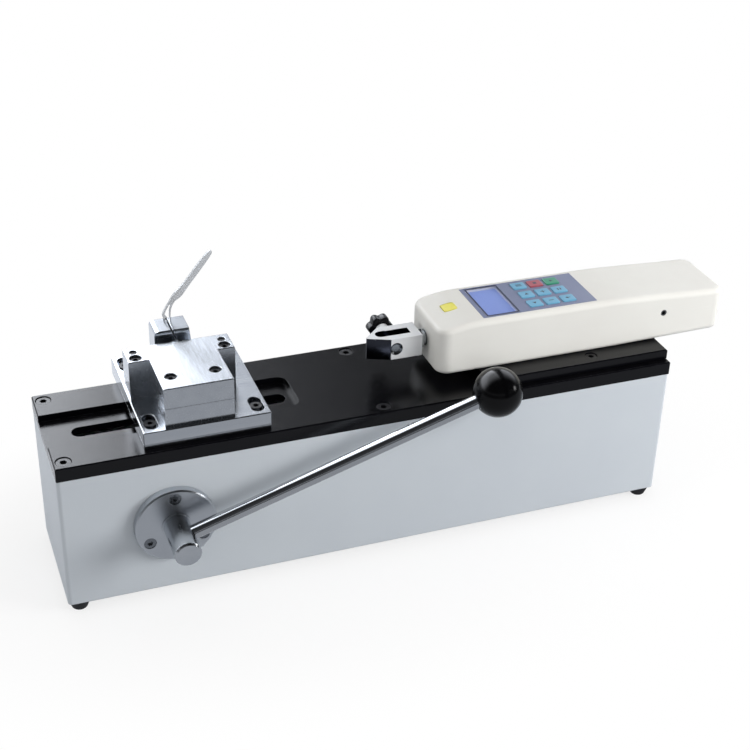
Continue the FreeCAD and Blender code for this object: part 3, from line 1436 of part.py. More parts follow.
def curve(points, start=None, end=None):
    line = Part.BSplineCurve()
    if start is None:
        line.interpolate(points)
    else:
        line.interpolate(Points=points, InitialTangent=start, FinalTangent=end)
    return line.toShape()


def socket_hole(name):
    return rod(name, "left_end + socket_place", "-gauge_width / 2 - 1",
               "plate_top + socket_height", "socket_radius + shaft_gap", "socket_length + 1", "y")


def nose_hole(name):
    return rod(name, "nose - 1", "0", "pull_level", "shaft_thick + 1",
               "case_corner + case_wall + 2", "x")


def lower_half():
    front_low, front_high = spot("nose", "riser_top"), spot("nose", "seam")
    back_low, back_high = spot("rear", "riser_top + tail_rise"), spot("rear", "seam")
    bend = spot("left_end + tail_bend", "riser_top")
    shell = case_half(
        "lower_case_shell",
        [straight(front_low, bend), straight(bend, back_low), straight(back_low, back_high),
         straight(back_high, front_high), straight(front_high, front_low)],
        worth("case_sole"))
    room = block("lower_room", "nose + case_corner", "-gauge_width / 2 + case_wall", "case_floor",
                 "rear - nose - case_corner * 2", "gauge_width - 2 * case_wall",
                 "seam - case_floor + 1")
    open_shell = cut("lower_case_open", shell, [room, nose_hole("nose_hole_low"),
                                                  socket_hole("socket_hole_low")])
    posts = [rod(f"post_{i}", x, y, "case_floor - 0.5", "post_radius", "gauge_post + 0.5")
             for i, (x, y) in enumerate(gauge_screw_spots())]
    threads = [rod(f"post_thread_{i}", x, y, "riser_top - 1", "gauge_screw_radius + seat_gap",
                   "case_floor - riser_top + gauge_post + 2")
               for i, (x, y) in enumerate(gauge_screw_spots())]
    return cut("gauge_lower_case", fuse("lower_case_posts", [open_shell] + posts), threads)


finish(lower_half(), "gauge_lower_case")


def key_spots():
    """Name and centre of each key: three columns along the bench, three rows across it."""
    return [(f"key_{column + 1}_{row + 1}",
             f"left_end + key_first_column + {column} * key_pitch_along",
             f"key_first_row - {row} * key_pitch_across")
            for column in range(3) for row in range(3)]


def upper_half():
    front_low, front_high = spot("nose", "seam"), spot("nose", "riser_top + nose_tall")
    back_low, back_high = spot("rear", "seam"), spot("rear", "riser_top + tail_tall")
    brow = spot("left_end + brow_place", "crown")
    fall = spot("left_end + slope_place", "crown")
    level_way = FreeCAD.Vector(1, 0, 0)
    bow = curve([front_high, spot("nose + 5", "crown - 3.5"),
                 spot("nose + 15", "crown - 1.6"), brow],
                FreeCAD.Vector(1, 0, 0.22), level_way)
    tail = curve([fall, spot("left_end + slope_place + 45", "crown - 1.6"), back_high],
                 level_way, FreeCAD.Vector(1, 0, -0.03))
    shell = case_half(
        "upper_case_shell",
        [straight(front_low, front_high), bow, straight(brow, fall), tail,
         straight(back_high, back_low), straight(back_low, front_low)],
        worth("case_brow"))
    room = block("upper_room", "left_end + brow_place - 6", "-gauge_width / 2 + case_wall + 1",
                 "seam - 1", "rear - case_corner - left_end - brow_place + 6",
                 "gauge_width - 2 * case_wall - 2", "riser_top + tail_tall - case_wall - seam + 1")
    loft = block("upper_loft", "left_end + brow_place", "-gauge_width / 2 + case_brow",
                 "seam", "slope_place - brow_place", "gauge_width - 2 * case_brow",
                 "crown - case_wall - seam")
    entry = block("upper_entry", "nose + case_corner", "-gauge_width / 2 + case_corner",
                  "seam - 1", "case_corner * 2", "gauge_width - 2 * case_corner",
                  "nose_tall - case_split - case_wall + 2")
    seat = block("panel_recess", "left_end + panel_start - fit_gap",
                 "-panel_width / 2 - fit_gap", "panel_seat", "panel_length + 2 * fit_gap",
                 "panel_width + 2 * fit_gap", "panel_thick * 2")
    view = block("display_opening", "left_end + window_start + window_rim",
                 "-window_width / 2 + window_rim", "panel_seat - case_wall * 2",
                 "window_length - 2 * window_rim", "window_width - 2 * window_rim",
                 "case_wall * 4")
    windows = [block(f"window_{name}", f"{x} - key_length / 2 - key_gap",
                     f"{y} - key_width / 2 - key_gap", "panel_seat - case_wall * 2",
                     "key_length + 2 * key_gap", "key_width + 2 * key_gap", "case_wall * 4")
               for name, x, y in key_spots()]
    open_shell = cut("upper_case_open", shell,
                     [room, loft, entry, seat, view, nose_hole("nose_hole_high"),
                      socket_hole("socket_hole_high")] + windows)
    pillars = [rod(f"board_pillar_{i}", x, y, "board_top", "board_pillar",
                   "crown - case_wall - board_top + 0.5")
               for i, (x, y) in enumerate(pillar_spots())]
    return fuse("gauge_upper_case", [open_shell] + pillars)


def pillar_spots():
    return [(f"left_end + {along}", f"{side} * (panel_width / 2 - board_pillar * 2)")
            for along in ("pillar_left", "pillar_right") for side in (-1, 1)]


finish(upper_half(), "gauge_upper_case")


# Keypad panel: a printed blue-grey sheet laid in the recess, cut out for display and keys.
def keypad_panel():
    sheet_blank = block("panel_blank", "left_end + panel_start", "-panel_width / 2",
                        "panel_seat", "panel_length", "panel_width", "panel_thick")
    view = block("panel_view", "left_end + window_start", "-window_width / 2",
                 "panel_seat - 1", "window_length", "window_width", "panel_thick + 2")
    windows = [block(f"panel_{name}", f"{x} - key_length / 2 - key_gap",
                     f"{y} - key_width / 2 - key_gap", "panel_seat - 1",
                     "key_length + 2 * key_gap", "key_width + 2 * key_gap", "panel_thick + 2")
               for name, x, y in key_spots()]
    return cut("keypad_panel", sheet_blank, [view] + windows)


finish(keypad_panel(), "keypad_panel")

# Display: a clear lens laid in the panel, and the display module behind it.
finish(block("display_window", "left_end + window_start + fit_gap", "-window_width / 2 + fit_gap",
             "panel_seat", "window_length - 2 * fit_gap", "window_width - 2 * fit_gap",
             "panel_thick"), "display_window")

finish(block("display_module", "left_end + window_start", "-window_width / 2", "board_top",
             "window_length", "window_width", "crown - case_wall - board_top"),
       "display_module")

# Keys: each cap stands in its own window, held by a collar under the case's roof.
for name, x, y in key_spots():
    finish(fuse(name, [
        block(name + "_cap", f"{x} - key_length / 2", f"{y} - key_width / 2",
              "crown - case_wall - key_collar", "key_length", "key_width",
              "panel_top + key_proud - crown + case_wall + key_collar"),
        block(name + "_collar", f"{x} - key_length / 2 - key_rim", f"{y} - key_width / 2 - key_rim",
              "crown - case_wall - key_collar - fit_gap", "key_length + 2 * key_rim",
              "key_width + 2 * key_rim", "key_collar"),
        rod(name + "_stem", x, y, "board_top + switch_tall + key_travel + 0.1", "switch_radius",
            "crown - case_wall - key_collar - board_top - switch_tall - key_travel"),
    ]), name)

# Circuit board: hangs under the roof, with a dome switch below each key.
finish(fuse("circuit_board", [
    block("board_sheet", "left_end + panel_start + 1", "-gauge_width / 2 + board_inset",
          "board_top - board_thick", "panel_length - 2", "gauge_width - 2 * board_inset",
          "board_thick")] + [
    rod(f"switch_{name}", x, y, "board_top - 0.2", "switch_radius", "switch_tall + 0.2")
    for name, x, y in key_spots()]), "circuit_board")


# Charging socket: a metal barrel through the front side of the case.
finish(cut("charge_socket", rod("socket_barrel", "left_end + socket_place",
                                "-gauge_width / 2 + 0.2", "plate_top + socket_height",
                                "socket_radius", "socket_length - 0.4", "y"),
           [rod("socket_mouth", "left_end + socket_place", "-gauge_width / 2",
                "plate_top + socket_height", "socket_bore", "socket_length * 0.8", "y")]),
       "charge_socket")

# Gauge screws: from below through the riser into posts in the case.
finish(set_of("gauge_screws", [
    fuse(f"gauge_screw_{i}", [
        rod(f"gauge_screw_head_{i}", x, y, "plate_top + 0.2", "gauge_screw_head",
            "gauge_screw_tall - 0.2"),
        rod(f"gauge_screw_shank_{i}", x, y, "plate_top + 0.2 + gauge_screw_tall / 2",
            "gauge_screw_radius", "riser_thick + gauge_post"),
    ]) for i, (x, y) in enumerate(gauge_screw_spots())]), "gauge_screws")

# Load cell: an aluminium block with a sensing window, on a foot in the lower case.
finish(cut("load_cell", fuse("cell_blank", [
    block("cell_block", "left_end + cell_start", "-cell_width / 2", "pull_level - cell_tall / 2",
          "cell_length", "cell_width", "cell_tall"),
    block("cell_foot", "left_end + cell_start + cell_length * 0.65", "-cell_width / 2",
          "case_floor", "cell_length * 0.35", "cell_width",
          "pull_level - cell_tall / 2 - case_floor + 1")]),
    [rod("cell_window", "left_end + cell_start + cell_length * 0.4", "-cell_width",
         "pull_level", "cell_tall * 0.3", "cell_width * 2", "y")]), "load_cell")

# Battery pack in the rear of the lower case.
finish(block("battery_pack", "left_end + battery_start", "-battery_width / 2", "case_floor",
             "battery_length", "battery_width", "battery_tall"), "battery_pack")

doc.recompute()
os.makedirs("parts", exist_ok=True)
for thing in doc.Objects:
    if "Invalid" in thing.State or "Error" in thing.State:
        raise RuntimeError(f"{thing.Name} failed: {thing.State}")
for piece in pieces:
    shape = piece.Shape
    if shape.isNull() or not shape.isValid():
        raise RuntimeError(f"{piece.Label} has a bad shape")
    shape.exportStep(f"parts/{piece.Label}.step")
    print(piece.Label, len(shape.Solids), round(shape.Volume))
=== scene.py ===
import math

import bmesh
import bpy
from mathutils import Matrix, Vector
from mathutils.bvhtree import BVHTree


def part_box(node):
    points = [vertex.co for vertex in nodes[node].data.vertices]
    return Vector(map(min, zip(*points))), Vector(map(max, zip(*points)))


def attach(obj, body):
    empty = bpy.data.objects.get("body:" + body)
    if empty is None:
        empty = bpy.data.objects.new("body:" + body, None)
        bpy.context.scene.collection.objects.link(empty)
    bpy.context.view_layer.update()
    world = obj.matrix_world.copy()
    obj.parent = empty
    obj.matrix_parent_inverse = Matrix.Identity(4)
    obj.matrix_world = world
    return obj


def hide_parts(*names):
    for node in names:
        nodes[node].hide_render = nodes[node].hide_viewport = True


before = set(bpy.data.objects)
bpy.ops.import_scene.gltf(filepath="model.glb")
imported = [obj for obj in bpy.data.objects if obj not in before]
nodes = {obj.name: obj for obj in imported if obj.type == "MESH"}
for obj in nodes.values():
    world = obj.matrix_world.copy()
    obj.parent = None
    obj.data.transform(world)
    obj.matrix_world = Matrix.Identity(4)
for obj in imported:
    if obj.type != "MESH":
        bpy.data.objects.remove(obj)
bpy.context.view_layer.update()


# Bench housing: a long open box folded from 2 mm sheet steel, welded at its upright corners
# and powder coated in a pale blue-grey. The coat has a fine orange peel and thins at the edges.
MM = 0.001


def shade(code):
    """A colour from its hex code, in the linear numbers that a shader takes."""
    parts = [int(code[i:i + 2], 16) / 255 for i in (0, 2, 4)]
    return [p / 12.92 if p <= 0.04045 else ((p + 0.055) / 1.055) ** 2.4 for p in parts] + [1.0]


def put(tree, kind, feeds=None, **settings):
    """Adds a node. feeds gives its inputs, each a plain value or another node's output."""
    node = tree.nodes.new("ShaderNode" + kind)
    for key, value in settings.items():
        setattr(node, key, value)
    for name, value in (feeds or {}).items():
        if isinstance(value, bpy.types.NodeSocket):
            tree.links.new(value, node.inputs[name])
        else:
            node.inputs[name].default_value = value
    return node


def new_effect(name, takes, gives):
    """An empty shader group: its tree, what comes in and where its results go."""
    tree = bpy.data.node_groups.new(name, "ShaderNodeTree")
    for label, kind, value in takes:
        socket = tree.interface.new_socket(label, in_out="INPUT", socket_type="NodeSocket" + kind)
        socket.default_value = value
    for label, kind in gives:
        tree.interface.new_socket(label, in_out="OUTPUT", socket_type="NodeSocket" + kind)
    came = tree.nodes.new("NodeGroupInput")
    result = tree.nodes.new("NodeGroupOutput")
    return tree, came.outputs, result.inputs


def effect(tree, name, **feeds):
    """Places a shader group in a material with its own values."""
    node = tree.nodes.new("ShaderNodeGroup")
    node.node_tree = bpy.data.node_groups[name]
    for label, value in feeds.items():
        label = label.replace("_", " ")
        if isinstance(value, bpy.types.NodeSocket):
            tree.links.new(value, node.inputs[label])
        else:
            node.inputs[label].default_value = value
    return node.outputs


# Grain: soft spots, or lines where Stretch shortens one way, from 0 to 1.
tree, came, result = new_effect(
    "Grain", [("Stretch", "Vector", (1, 1, 1)), ("Size", "Float", 500.0)], [("Mask", "Float")])
place = put(tree, "TexCoord").outputs["Object"]
place = put(tree, "Mapping", {"Vector": place, "Scale": came["Stretch"]}).outputs["Vector"]
spots = put(tree, "TexNoise", {"Vector": place, "Scale": came["Size"], "Detail": 4.0,
                               "Roughness": 0.6}).outputs["Fac"]
spots = put(tree, "MapRange", {"Value": spots, "From Min": 0.32, "From Max": 0.68})
tree.links.new(spots.outputs["Result"], result["Mask"])

# Edge wear: where an edge is sharp, broken up by grain, and the same edge slightly rounded.
tree, came, result = new_effect(
    "Edge wear", [("Reach", "Float", 0.0006), ("Break up", "Float", 400.0)],
    [("Mask", "Float"), ("Normal", "Vector")])
rounded = put(tree, "Bevel", {"Radius": came["Reach"]}, samples=4).outputs["Normal"]
true_normal = put(tree, "NewGeometry").outputs["Normal"]
match = put(tree, "VectorMath", {0: rounded, 1: true_normal}, operation="DOT_PRODUCT")
edge = put(tree, "MapRange", {"Value": match.outputs["Value"], "From Min": 0.995,
                              "From Max": 0.86}).outputs["Result"]
spots = put(tree, "TexNoise", {"Vector": put(tree, "TexCoord").outputs["Object"],
                               "Scale": came["Break up"], "Detail": 3.0}).outputs["Fac"]
spots = put(tree, "MapRange", {"Value": spots, "From Min": 0.4, "From Max": 0.62})
edge = put(tree, "Math", {0: edge, 1: spots.outputs["Result"]}, operation="MULTIPLY")
tree.links.new(edge.outputs["Value"], result["Mask"])
tree.links.new(rounded, result["Normal"])

# Dust: a thin broken film on what faces up.
tree, came, result = new_effect("Dust", [("Amount", "Float", 0.1)], [("Mask", "Float")])
up = put(tree, "SeparateXYZ", {"Vector": put(tree, "NewGeometry").outputs["Normal"]})
up = put(tree, "MapRange", {"Value": up.outputs["Z"], "From Min": 0.55, "From Max": 1.0})
spots = put(tree, "TexNoise", {"Vector": put(tree, "TexCoord").outputs["Object"],
                               "Scale": 90.0, "Detail": 6.0, "Roughness": 0.7}).outputs["Fac"]
spots = put(tree, "MapRange", {"Value": spots, "From Min": 0.38, "From Max": 0.75})
film = put(tree, "Math", {0: up.outputs["Result"], 1: spots.outputs["Result"]},
           operation="MULTIPLY")
film = put(tree, "Math", {0: film.outputs["Value"], 1: came["Amount"]}, operation="MULTIPLY")
tree.links.new(film.outputs["Value"], result["Mask"])

# Turning marks: fine rings round an axis. Centre is a point on it, Across is 0 along it.
tree, came, result = new_effect(
    "Turning marks", [("Centre", "Vector", (0, 0, 0)), ("Across", "Vector", (1, 0, 1)),
                      ("Rings", "Float", 1500.0)], [("Height", "Float")])
place = put(tree, "VectorMath", {0: put(tree, "TexCoord").outputs["Object"],
                                 1: came["Centre"]}, operation="SUBTRACT").outputs["Vector"]
place = put(tree, "VectorMath", {0: place, 1: came["Across"]}, operation="MULTIPLY")
far = put(tree, "VectorMath", {0: place.outputs["Vector"]}, operation="LENGTH").outputs["Value"]
rings = put(tree, "TexNoise", {"W": far, "Scale": came["Rings"], "Detail": 2.0},
            noise_dimensions="1D").outputs["Fac"]
tree.links.new(rings, result["Height"])


def mix(tree, share, first, second):
    """The colour between two others."""
    return put(tree, "MixRGB", {"Fac": share, "Color1": first, "Color2": second}).outputs["Color"]


def finish_of(name, colours, rough, stretch=(1, 1, 1), size=700.0, bump=0.1, metallic=0.0,
              worn=None, reach=0.0005, dust=0.0, turned=None, patches=28.0, shader=None):
    """A surface: two colours in large soft patches, two roughnesses and a relief in fine grain,
    worn edges as (colour, share), dust on top and turning marks as (centre, across)."""
    material = bpy.data.materials.new(name)
    material.use_nodes = True
    tree = material.node_tree
    tree.nodes.clear()
    fine = effect(tree, "Grain", Stretch=stretch, Size=size)["Mask"]
    large = effect(tree, "Grain", Stretch=stretch, Size=patches)["Mask"]
    colour = mix(tree, large, colours[0], colours[1])
    roughness = put(tree, "MapRange", {"Value": fine, "To Min": rough[0],
                                       "To Max": rough[1]}).outputs["Result"]
    edges = effect(tree, "Edge wear", Reach=reach)
    if worn:
        share = put(tree, "Math", {0: edges["Mask"], 1: worn[1]}, operation="MULTIPLY",
                    use_clamp=True).outputs["Value"]
        colour = mix(tree, share, colour, worn[0])
    if dust:
        film = effect(tree, "Dust", Amount=dust)["Mask"]
        colour = mix(tree, film, colour, shade("a8a59d"))
        roughness = put(tree, "Math", {0: roughness, 1: film}, operation="ADD",
                        use_clamp=True).outputs["Value"]
    relief = put(tree, "Bump", {"Height": fine, "Strength": bump, "Distance": 0.0001,
                                "Normal": edges["Normal"]}).outputs["Normal"]
    if turned:
        rings = effect(tree, "Turning marks", Centre=turned[0], Across=turned[1])["Height"]
        relief = put(tree, "Bump", {"Height": rings, "Strength": 0.005, "Distance": 0.0001,
                                    "Normal": relief}).outputs["Normal"]
    feeds = {"Base Color": colour, "Roughness": roughness, "Metallic": metallic,
             "Normal": relief}
    feeds.update(shader or {})
    body = put(tree, "BsdfPrincipled", feeds)
    out = put(tree, "OutputMaterial")
    tree.links.new(body.outputs["BSDF"], out.inputs["Surface"])
    return material


def dress(names, material, edge=0.0):
    """Gives CAD pieces their finish, and breaks their sharp edges by the given width."""
    for name in names:
        piece = nodes[name]
        piece.data.materials.clear()
        piece.data.materials.append(material)
        if edge:
            weld = piece.modifiers.new("one skin", "WELD")
            weld.merge_threshold = 0.000004
            bevel = piece.modifiers.new("broken edges", "BEVEL")
            bevel.width = edge
            bevel.segments = 2
            bevel.limit_method = "ANGLE"
            bevel.angle_limit = math.radians(38)
            shading = piece.modifiers.new("flat faces", "WEIGHTED_NORMAL")
            shading.weight = 100


coat = finish_of("pale powder coat", (shade("cdd3d8"), shade("c8ced4")), (0.34, 0.46),
                 size=1500.0, bump=0.22, worn=(shade("8d949b"), 0.35), reach=0.0009,
                 dust=0.05, patches=9.0)
dress(["bench_housing"], coat, 0.5 * MM)

# Bottom cover and its screws: a zinc plated sheet that closes the box from below, held by
# pan head screws in the housing's inner lip.
zinc = finish_of("zinc plate", (shade("aeb1b3"), shade("9a9ea1")), (0.32, 0.5), size=420.0,
                 bump=0.02, metallic=1.0, worn=(shade("c9cbcc"), 0.5), patches=60.0)
dress(["bottom_cover", "rear_bearing"], zinc, 0.2 * MM)
screw_zinc = finish_of("zinc screws", (shade("a9acae"), shade("b7babb")), (0.25, 0.4),
                       size=900.0, bump=0.01, metallic=1.0, worn=(shade("d0d2d3"), 0.6))
dress(["cover_screws", "foot_screws"], screw_zinc, 0.15 * MM)

# Rubber feet: four turned black rubber cones, each held by a screw in its recess.
# The rubber is matt, with dust in its pores.
rubber = finish_of("foot rubber", (shade("1b1b1d"), shade("242427")), (0.6, 0.82), size=1400.0,
                   bump=0.5, dust=0.2, worn=(shade("3a3a3d"), 0.6))
dress(["rubber_feet"], rubber, 0.4 * MM)

# Top plate and riser: milled aluminium, bead blasted and anodised black. The channel, the slot
# and the riser's steps are milled before the coat, and the coat is rubbed grey at the corners.
anodised = finish_of("black anodised plate", (shade("060609"), shade("09090d")), (0.14, 0.24),
                     size=2600.0, bump=0.12, worn=(shade("4b4b52"), 0.5), reach=0.0004,
                     dust=0.01, patches=14.0, shader={"IOR": 1.35})
dress(["top_plate", "gauge_riser"], anodised)

# Socket screws of the bench and the clamp: black oxide steel, knurled by the grain, with
# hexagon sockets. They sit in counterbores or in the cross plate's slots.
black_oxide = finish_of("black oxide screws", (shade("08080a"), shade("0e0e11")), (0.22, 0.4),
                        size=1800.0, bump=0.2, metallic=0.0,
                        worn=(shade("4a4b50"), 0.8), reach=0.0003)
dress(["top_plate_screws", "riser_screws", "cross_plate_screws", "tower_screws",
       "tower_dowels", "gauge_screws", "rack_screws"], black_oxide, 0.15 * MM)

# Shaft flange: a turned steel flange on the front wall, satin, with faint turning rings,
# and three zinc screws round the hub, painted darker than the other zinc screws as painted shade.
flange_low, flange_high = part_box("shaft_flange")
shaft_centre = (flange_low + flange_high) / 2
satin = finish_of("turned satin steel", (shade("d0d4d9"), shade("c7cbd1")), (0.28, 0.34),
                  size=500.0, bump=0.004, metallic=1.0, worn=(shade("dfe1e3"), 0.5),
                  turned=(shaft_centre, (1, 0, 1)), patches=40.0)
dress(["shaft_flange", "thrust_washer"], satin)
# The flange screws' zinc is painted darker as painted shade; their worn rims stay light.
shaded_flange_zinc = finish_of("flange screws with painted shade", (shade("7c8086"), shade("8b8f94")), (0.2, 0.32),
                        size=900.0, bump=0.01, metallic=1.0, worn=(shade("d9dbdd"), 0.8))
dress(["flange_screws"], shaded_flange_zinc, 0.2 * MM)

# Bush: sintered bronze pressed into the flange, oily and slightly mottled.
bronze = finish_of("sintered bronze", (shade("a27b4c"), shade("8c6840")), (0.35, 0.55),
                   size=2000.0, bump=0.25, metallic=1.0, worn=(shade("d0a878"), 0.6))
dress(["front_bush"], bronze, 0.1 * MM)

# Drive shaft: one turned bar with the thick hub in front, which the lever rod passes through,
# and the retaining ring on its far end.
hub_steel = finish_of("turned hub steel", (shade("d4d7db"), shade("c8cdd2")), (0.17, 0.24),
                      size=500.0, bump=0.004, metallic=1.0, worn=(shade("e3e5e6"), 0.5),
                      turned=(shaft_centre, (1, 0, 1)), patches=50.0)
dress(["drive_shaft", "retaining_ring"], hub_steel, 0.2 * MM)

# Lever rod: ground round bar with bright chrome, faint scratches along it.
chrome = finish_of("chrome rod", (shade("c7c9cc"), shade("bcbfc3")), (0.08, 0.16),
                   stretch=(0.15, 1, 0.4), size=1200.0, bump=0.003, metallic=1.0,
                   worn=(shade("e6e7e8"), 0.4), patches=30.0)
dress(["lever_rod"], chrome)

# Ball knob: glossy black phenolic ball, moulded, with hair-fine handling scratches.
phenolic = finish_of("phenolic ball", (shade("030304"), shade("060607")), (0.12, 0.2),
                     size=260.0, bump=0.01, patches=60.0, shader={"IOR": 1.3})
dress(["ball_knob"], phenolic)

# Pinion, its cross pin and the rack: cut and hardened gear steel, dark and oily.
gear = finish_of("gear steel", (shade("6c6e72"), shade("5b5d61")), (0.25, 0.42), size=600.0,
                 bump=0.02, metallic=1.0, worn=(shade("a5a8ab"), 0.7))
dress(["pinion", "pinion_pin", "rack"], gear, 0.12 * MM)

# Slide: the shoe in the channel, the slide plate above it and the adjustable cross plate.
# All are ground and polished steel, with the grinding lines along the bench.
ground = finish_of("ground polished steel", (shade("d0d4d9"), shade("c8ccd2")), (0.14, 0.22),
                   stretch=(0.04, 1, 1), size=1500.0, bump=0.004, metallic=1.0,
                   worn=(shade("eceded"), 0.5), reach=0.0005, patches=120.0)
dress(["slide_shoe", "slide_plate", "cross_plate"], ground)

# Clamp tower: two T-shaped blocks stacked on the cross plate, polished, with socket screws in
# counterbores and two dowels. The seam between the blocks is a fine dark line.
tower_steel = finish_of("polished tower steel", (shade("d0d4d9"), shade("c8ccd2")),
                        (0.2, 0.28), stretch=(1, 0.05, 1), size=1300.0, bump=0.004,
                        metallic=1.0, worn=(shade("eceded"), 0.5), reach=0.0006,
                        patches=110.0)
dress(["tower_lower_block", "tower_upper_block", "jaw_bed"], tower_steel)

# Wire jaws: hardened and polished tool steel, the fixed jaw screwed to its bed and the moving
# jaw sliding in the bed's groove.
jaw_bright = finish_of("polished jaws", (shade("d0d4d9"), shade("c8ccd2")), (0.12, 0.18),
                       stretch=(1, 1, 0.06), size=1300.0, bump=0.004, metallic=1.0,
                       worn=(shade("eceded"), 0.5), reach=0.0004, patches=100.0)
dress(["fixed_jaw", "moving_jaw"], jaw_bright)
dress(["lever_pivot"], hub_steel, 0.2 * MM)


# Clamp lever: a stamped and polished strip that stands behind the jaws and spreads them with
# the cam at its foot. Its edges are rolled, and its tip leans to the right.
def one_mesh(name, work, material, body, smooth=True):
    """A new piece from a filled bmesh, riding on a body."""
    bmesh.ops.recalc_face_normals(work, faces=work.faces)
    mesh = bpy.data.meshes.new(name)
    work.to_mesh(mesh)
    work.free()
    mesh.polygons.foreach_set("use_smooth", [smooth] * len(mesh.polygons))
    mesh.materials.append(material)
    piece = bpy.data.objects.new(name, mesh)
    bpy.context.scene.collection.objects.link(piece)
    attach(piece, body)
    return piece


def loft(work, rings):
    """Skins closed rings of equally many points, and closes both ends."""
    rows = [[work.verts.new(point) for point in ring] for ring in rings]
    count = len(rows[0])
    for low, high in zip(rows, rows[1:]):
        for i in range(count):
            j = (i + 1) % count
            work.faces.new((low[i], low[j], high[j], high[i]))
    work.faces.new(rows[0][::-1])
    work.faces.new(rows[-1])


def through(points, steps):
    """A smooth line through points, with steps between each two."""
    line = []
    for i in range(len(points) - 1):
        before = points[max(i - 1, 0)]
        after = points[min(i + 2, len(points) - 1)]
        for step in range(steps):
            t = step / steps
            line.append(tuple(
                0.5 * (2 * b + (c - a) * t + (2 * a - 5 * b + 4 * c - d) * t * t
                       + (3 * b - a - 3 * c + d) * t ** 3)
                for a, b, c, d in zip(before, points[i], points[i + 1], after)))
    line.append(points[-1])
    return line


# Outlines round the pivot in millimetres: up the left edge and down the right one to the boss.
LEVER_LEFT = [(-6.6, 0), (-2.5, 7), (1.6, 11), (2.3, 14.6), (-0.6, 19.4), (4.8, 29.2),
              (8.5, 34.8), (15.9, 42.2), (27, 56), (33.6, 63.2), (35.4, 64)]
LEVER_RIGHT = [(35.4, 64), (35.9, 61.5), (29, 51.9), (18.9, 39.3), (13.5, 32.3), (8, 28),
               (5.3, 20.6), (5.3, 8)]
LEVER_WINDOW = [(3.4, 15.4), (2.6, 17.2), (0.9, 19.6), (2.3, 23), (4.2, 26.2), (5.2, 27.2),
                (5.6, 26), (4.4, 21.6), (4.3, 16), (4, 15.2)]
boss_radius = 6.6
hole_radius = 2.55
cam_rise = 4
cam_turn = 50
cam_steps = 8
bend_steps = 5
lever_low, lever_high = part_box("clamp_lever")
pivot_x = -0.130
pivot_z = lever_low.z + boss_radius * MM


def round_pivot(radius, degrees):
    """A point on a circle round the lever's pivot."""
    angle = math.radians(degrees)
    return radius * math.cos(angle), radius * math.sin(angle)


lever_line = through(LEVER_LEFT, bend_steps)[:-1] + through(LEVER_RIGHT, bend_steps)
for step in range(cam_steps + 1):
    share = 1 - step / cam_steps
    lever_line.append(round_pivot(boss_radius + cam_rise * share, cam_turn * share))
lever_line += [round_pivot(boss_radius, -degrees) for degrees in range(15, 180, 15)]
hole_line = [round_pivot(hole_radius, degrees) for degrees in range(0, 360, 12)]
lever_rings = (lever_line, hole_line, LEVER_WINDOW)
work = bmesh.new()
for y in (lever_low.y, lever_high.y):
    rims = []
    for outline in lever_rings:
        ring = [work.verts.new((pivot_x + a * MM, y, pivot_z + b * MM)) for a, b in outline]
        rims += [work.edges.new((ring[i], ring[(i + 1) % len(ring)])) for i in range(len(ring))]
    bmesh.ops.triangle_fill(work, use_beauty=True, edges=rims)
work.verts.ensure_lookup_table()
half = sum(len(outline) for outline in lever_rings)
start = 0
for outline in lever_rings:
    count = len(outline)
    for i in range(count):
        j = (i + 1) % count
        work.faces.new((work.verts[start + i], work.verts[start + j],
                        work.verts[start + j + half], work.verts[start + i + half]))
    start += count
stamped = finish_of("stamped bright steel", (shade("e2e3e5"), shade("cfd2d5")), (0.26, 0.4),
                    stretch=(1, 1, 0.08), size=900.0, bump=0.02, metallic=0.3,
                    reach=0.0003, patches=60.0)
lever = one_mesh("stamped_clamp_lever", work, stamped, "wire_lever")
rolled = lever.modifiers.new("rolled edges", "BEVEL")
rolled.width = 0.35 * MM
rolled.segments = 3
rolled.limit_method = "ANGLE"
rolled.angle_limit = math.radians(50)
rolled.harden_normals = True
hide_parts("clamp_lever")

# Measuring shaft, lock nut and terminal block: the shaft leaves the gauge's nose, screws into
# the block and is locked by the nut. The wedge ended block has a slot for the terminal.
shaft_low, shaft_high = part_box("measuring_shaft")
shaft_steel = finish_of("bright shaft steel", (shade("bcc0c4"), shade("abb0b5")), (0.16, 0.28),
                        size=700.0, bump=0.006, metallic=1.0, worn=(shade("e3e5e6"), 0.6),
                        turned=((shaft_low + shaft_high) / 2, (0, 1, 1)))
dress(["measuring_shaft", "lock_nut"], shaft_steel, 0.2 * MM)
block_steel = finish_of("blasted terminal block", (shade("e8e9ea"), shade("dfe1e3")),
                        (0.4, 0.5), stretch=(0.06, 1, 1), size=1400.0, bump=0.04,
                        metallic=0.1, worn=(shade("f0f1f1"), 0.5), patches=90.0)
block_low, block_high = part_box("terminal_block")
pin_low, pin_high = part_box("cross_pin")
wedge_long = 16 * MM
wedge_tilt = 0.3
mouth_radius = 4.8 * MM
mouth_depth = 1.9 * MM
slot_half = 4.1 * MM
slot_rim = 0.4 * MM
slot_start = 7 * MM
milled_edge = 0.1 * MM
tree = block_steel.node_tree


def side_of(tree, value, edge, below=True):
    """1 on one side of a limit and 0 on the other."""
    low_end, high_end = (1.0, 0.0) if below else (0.0, 1.0)
    return put(tree, "MapRange", {"Value": value, "From Min": edge - milled_edge,
                                  "From Max": edge + milled_edge, "To Min": low_end,
                                  "To Max": high_end}).outputs["Result"]


def sum_of(tree, first, second, operation="MULTIPLY"):
    """The result of one sum: where both masks are set, unless another operation is named."""
    return put(tree, "Math", {0: first, 1: second}, operation=operation).outputs["Value"]
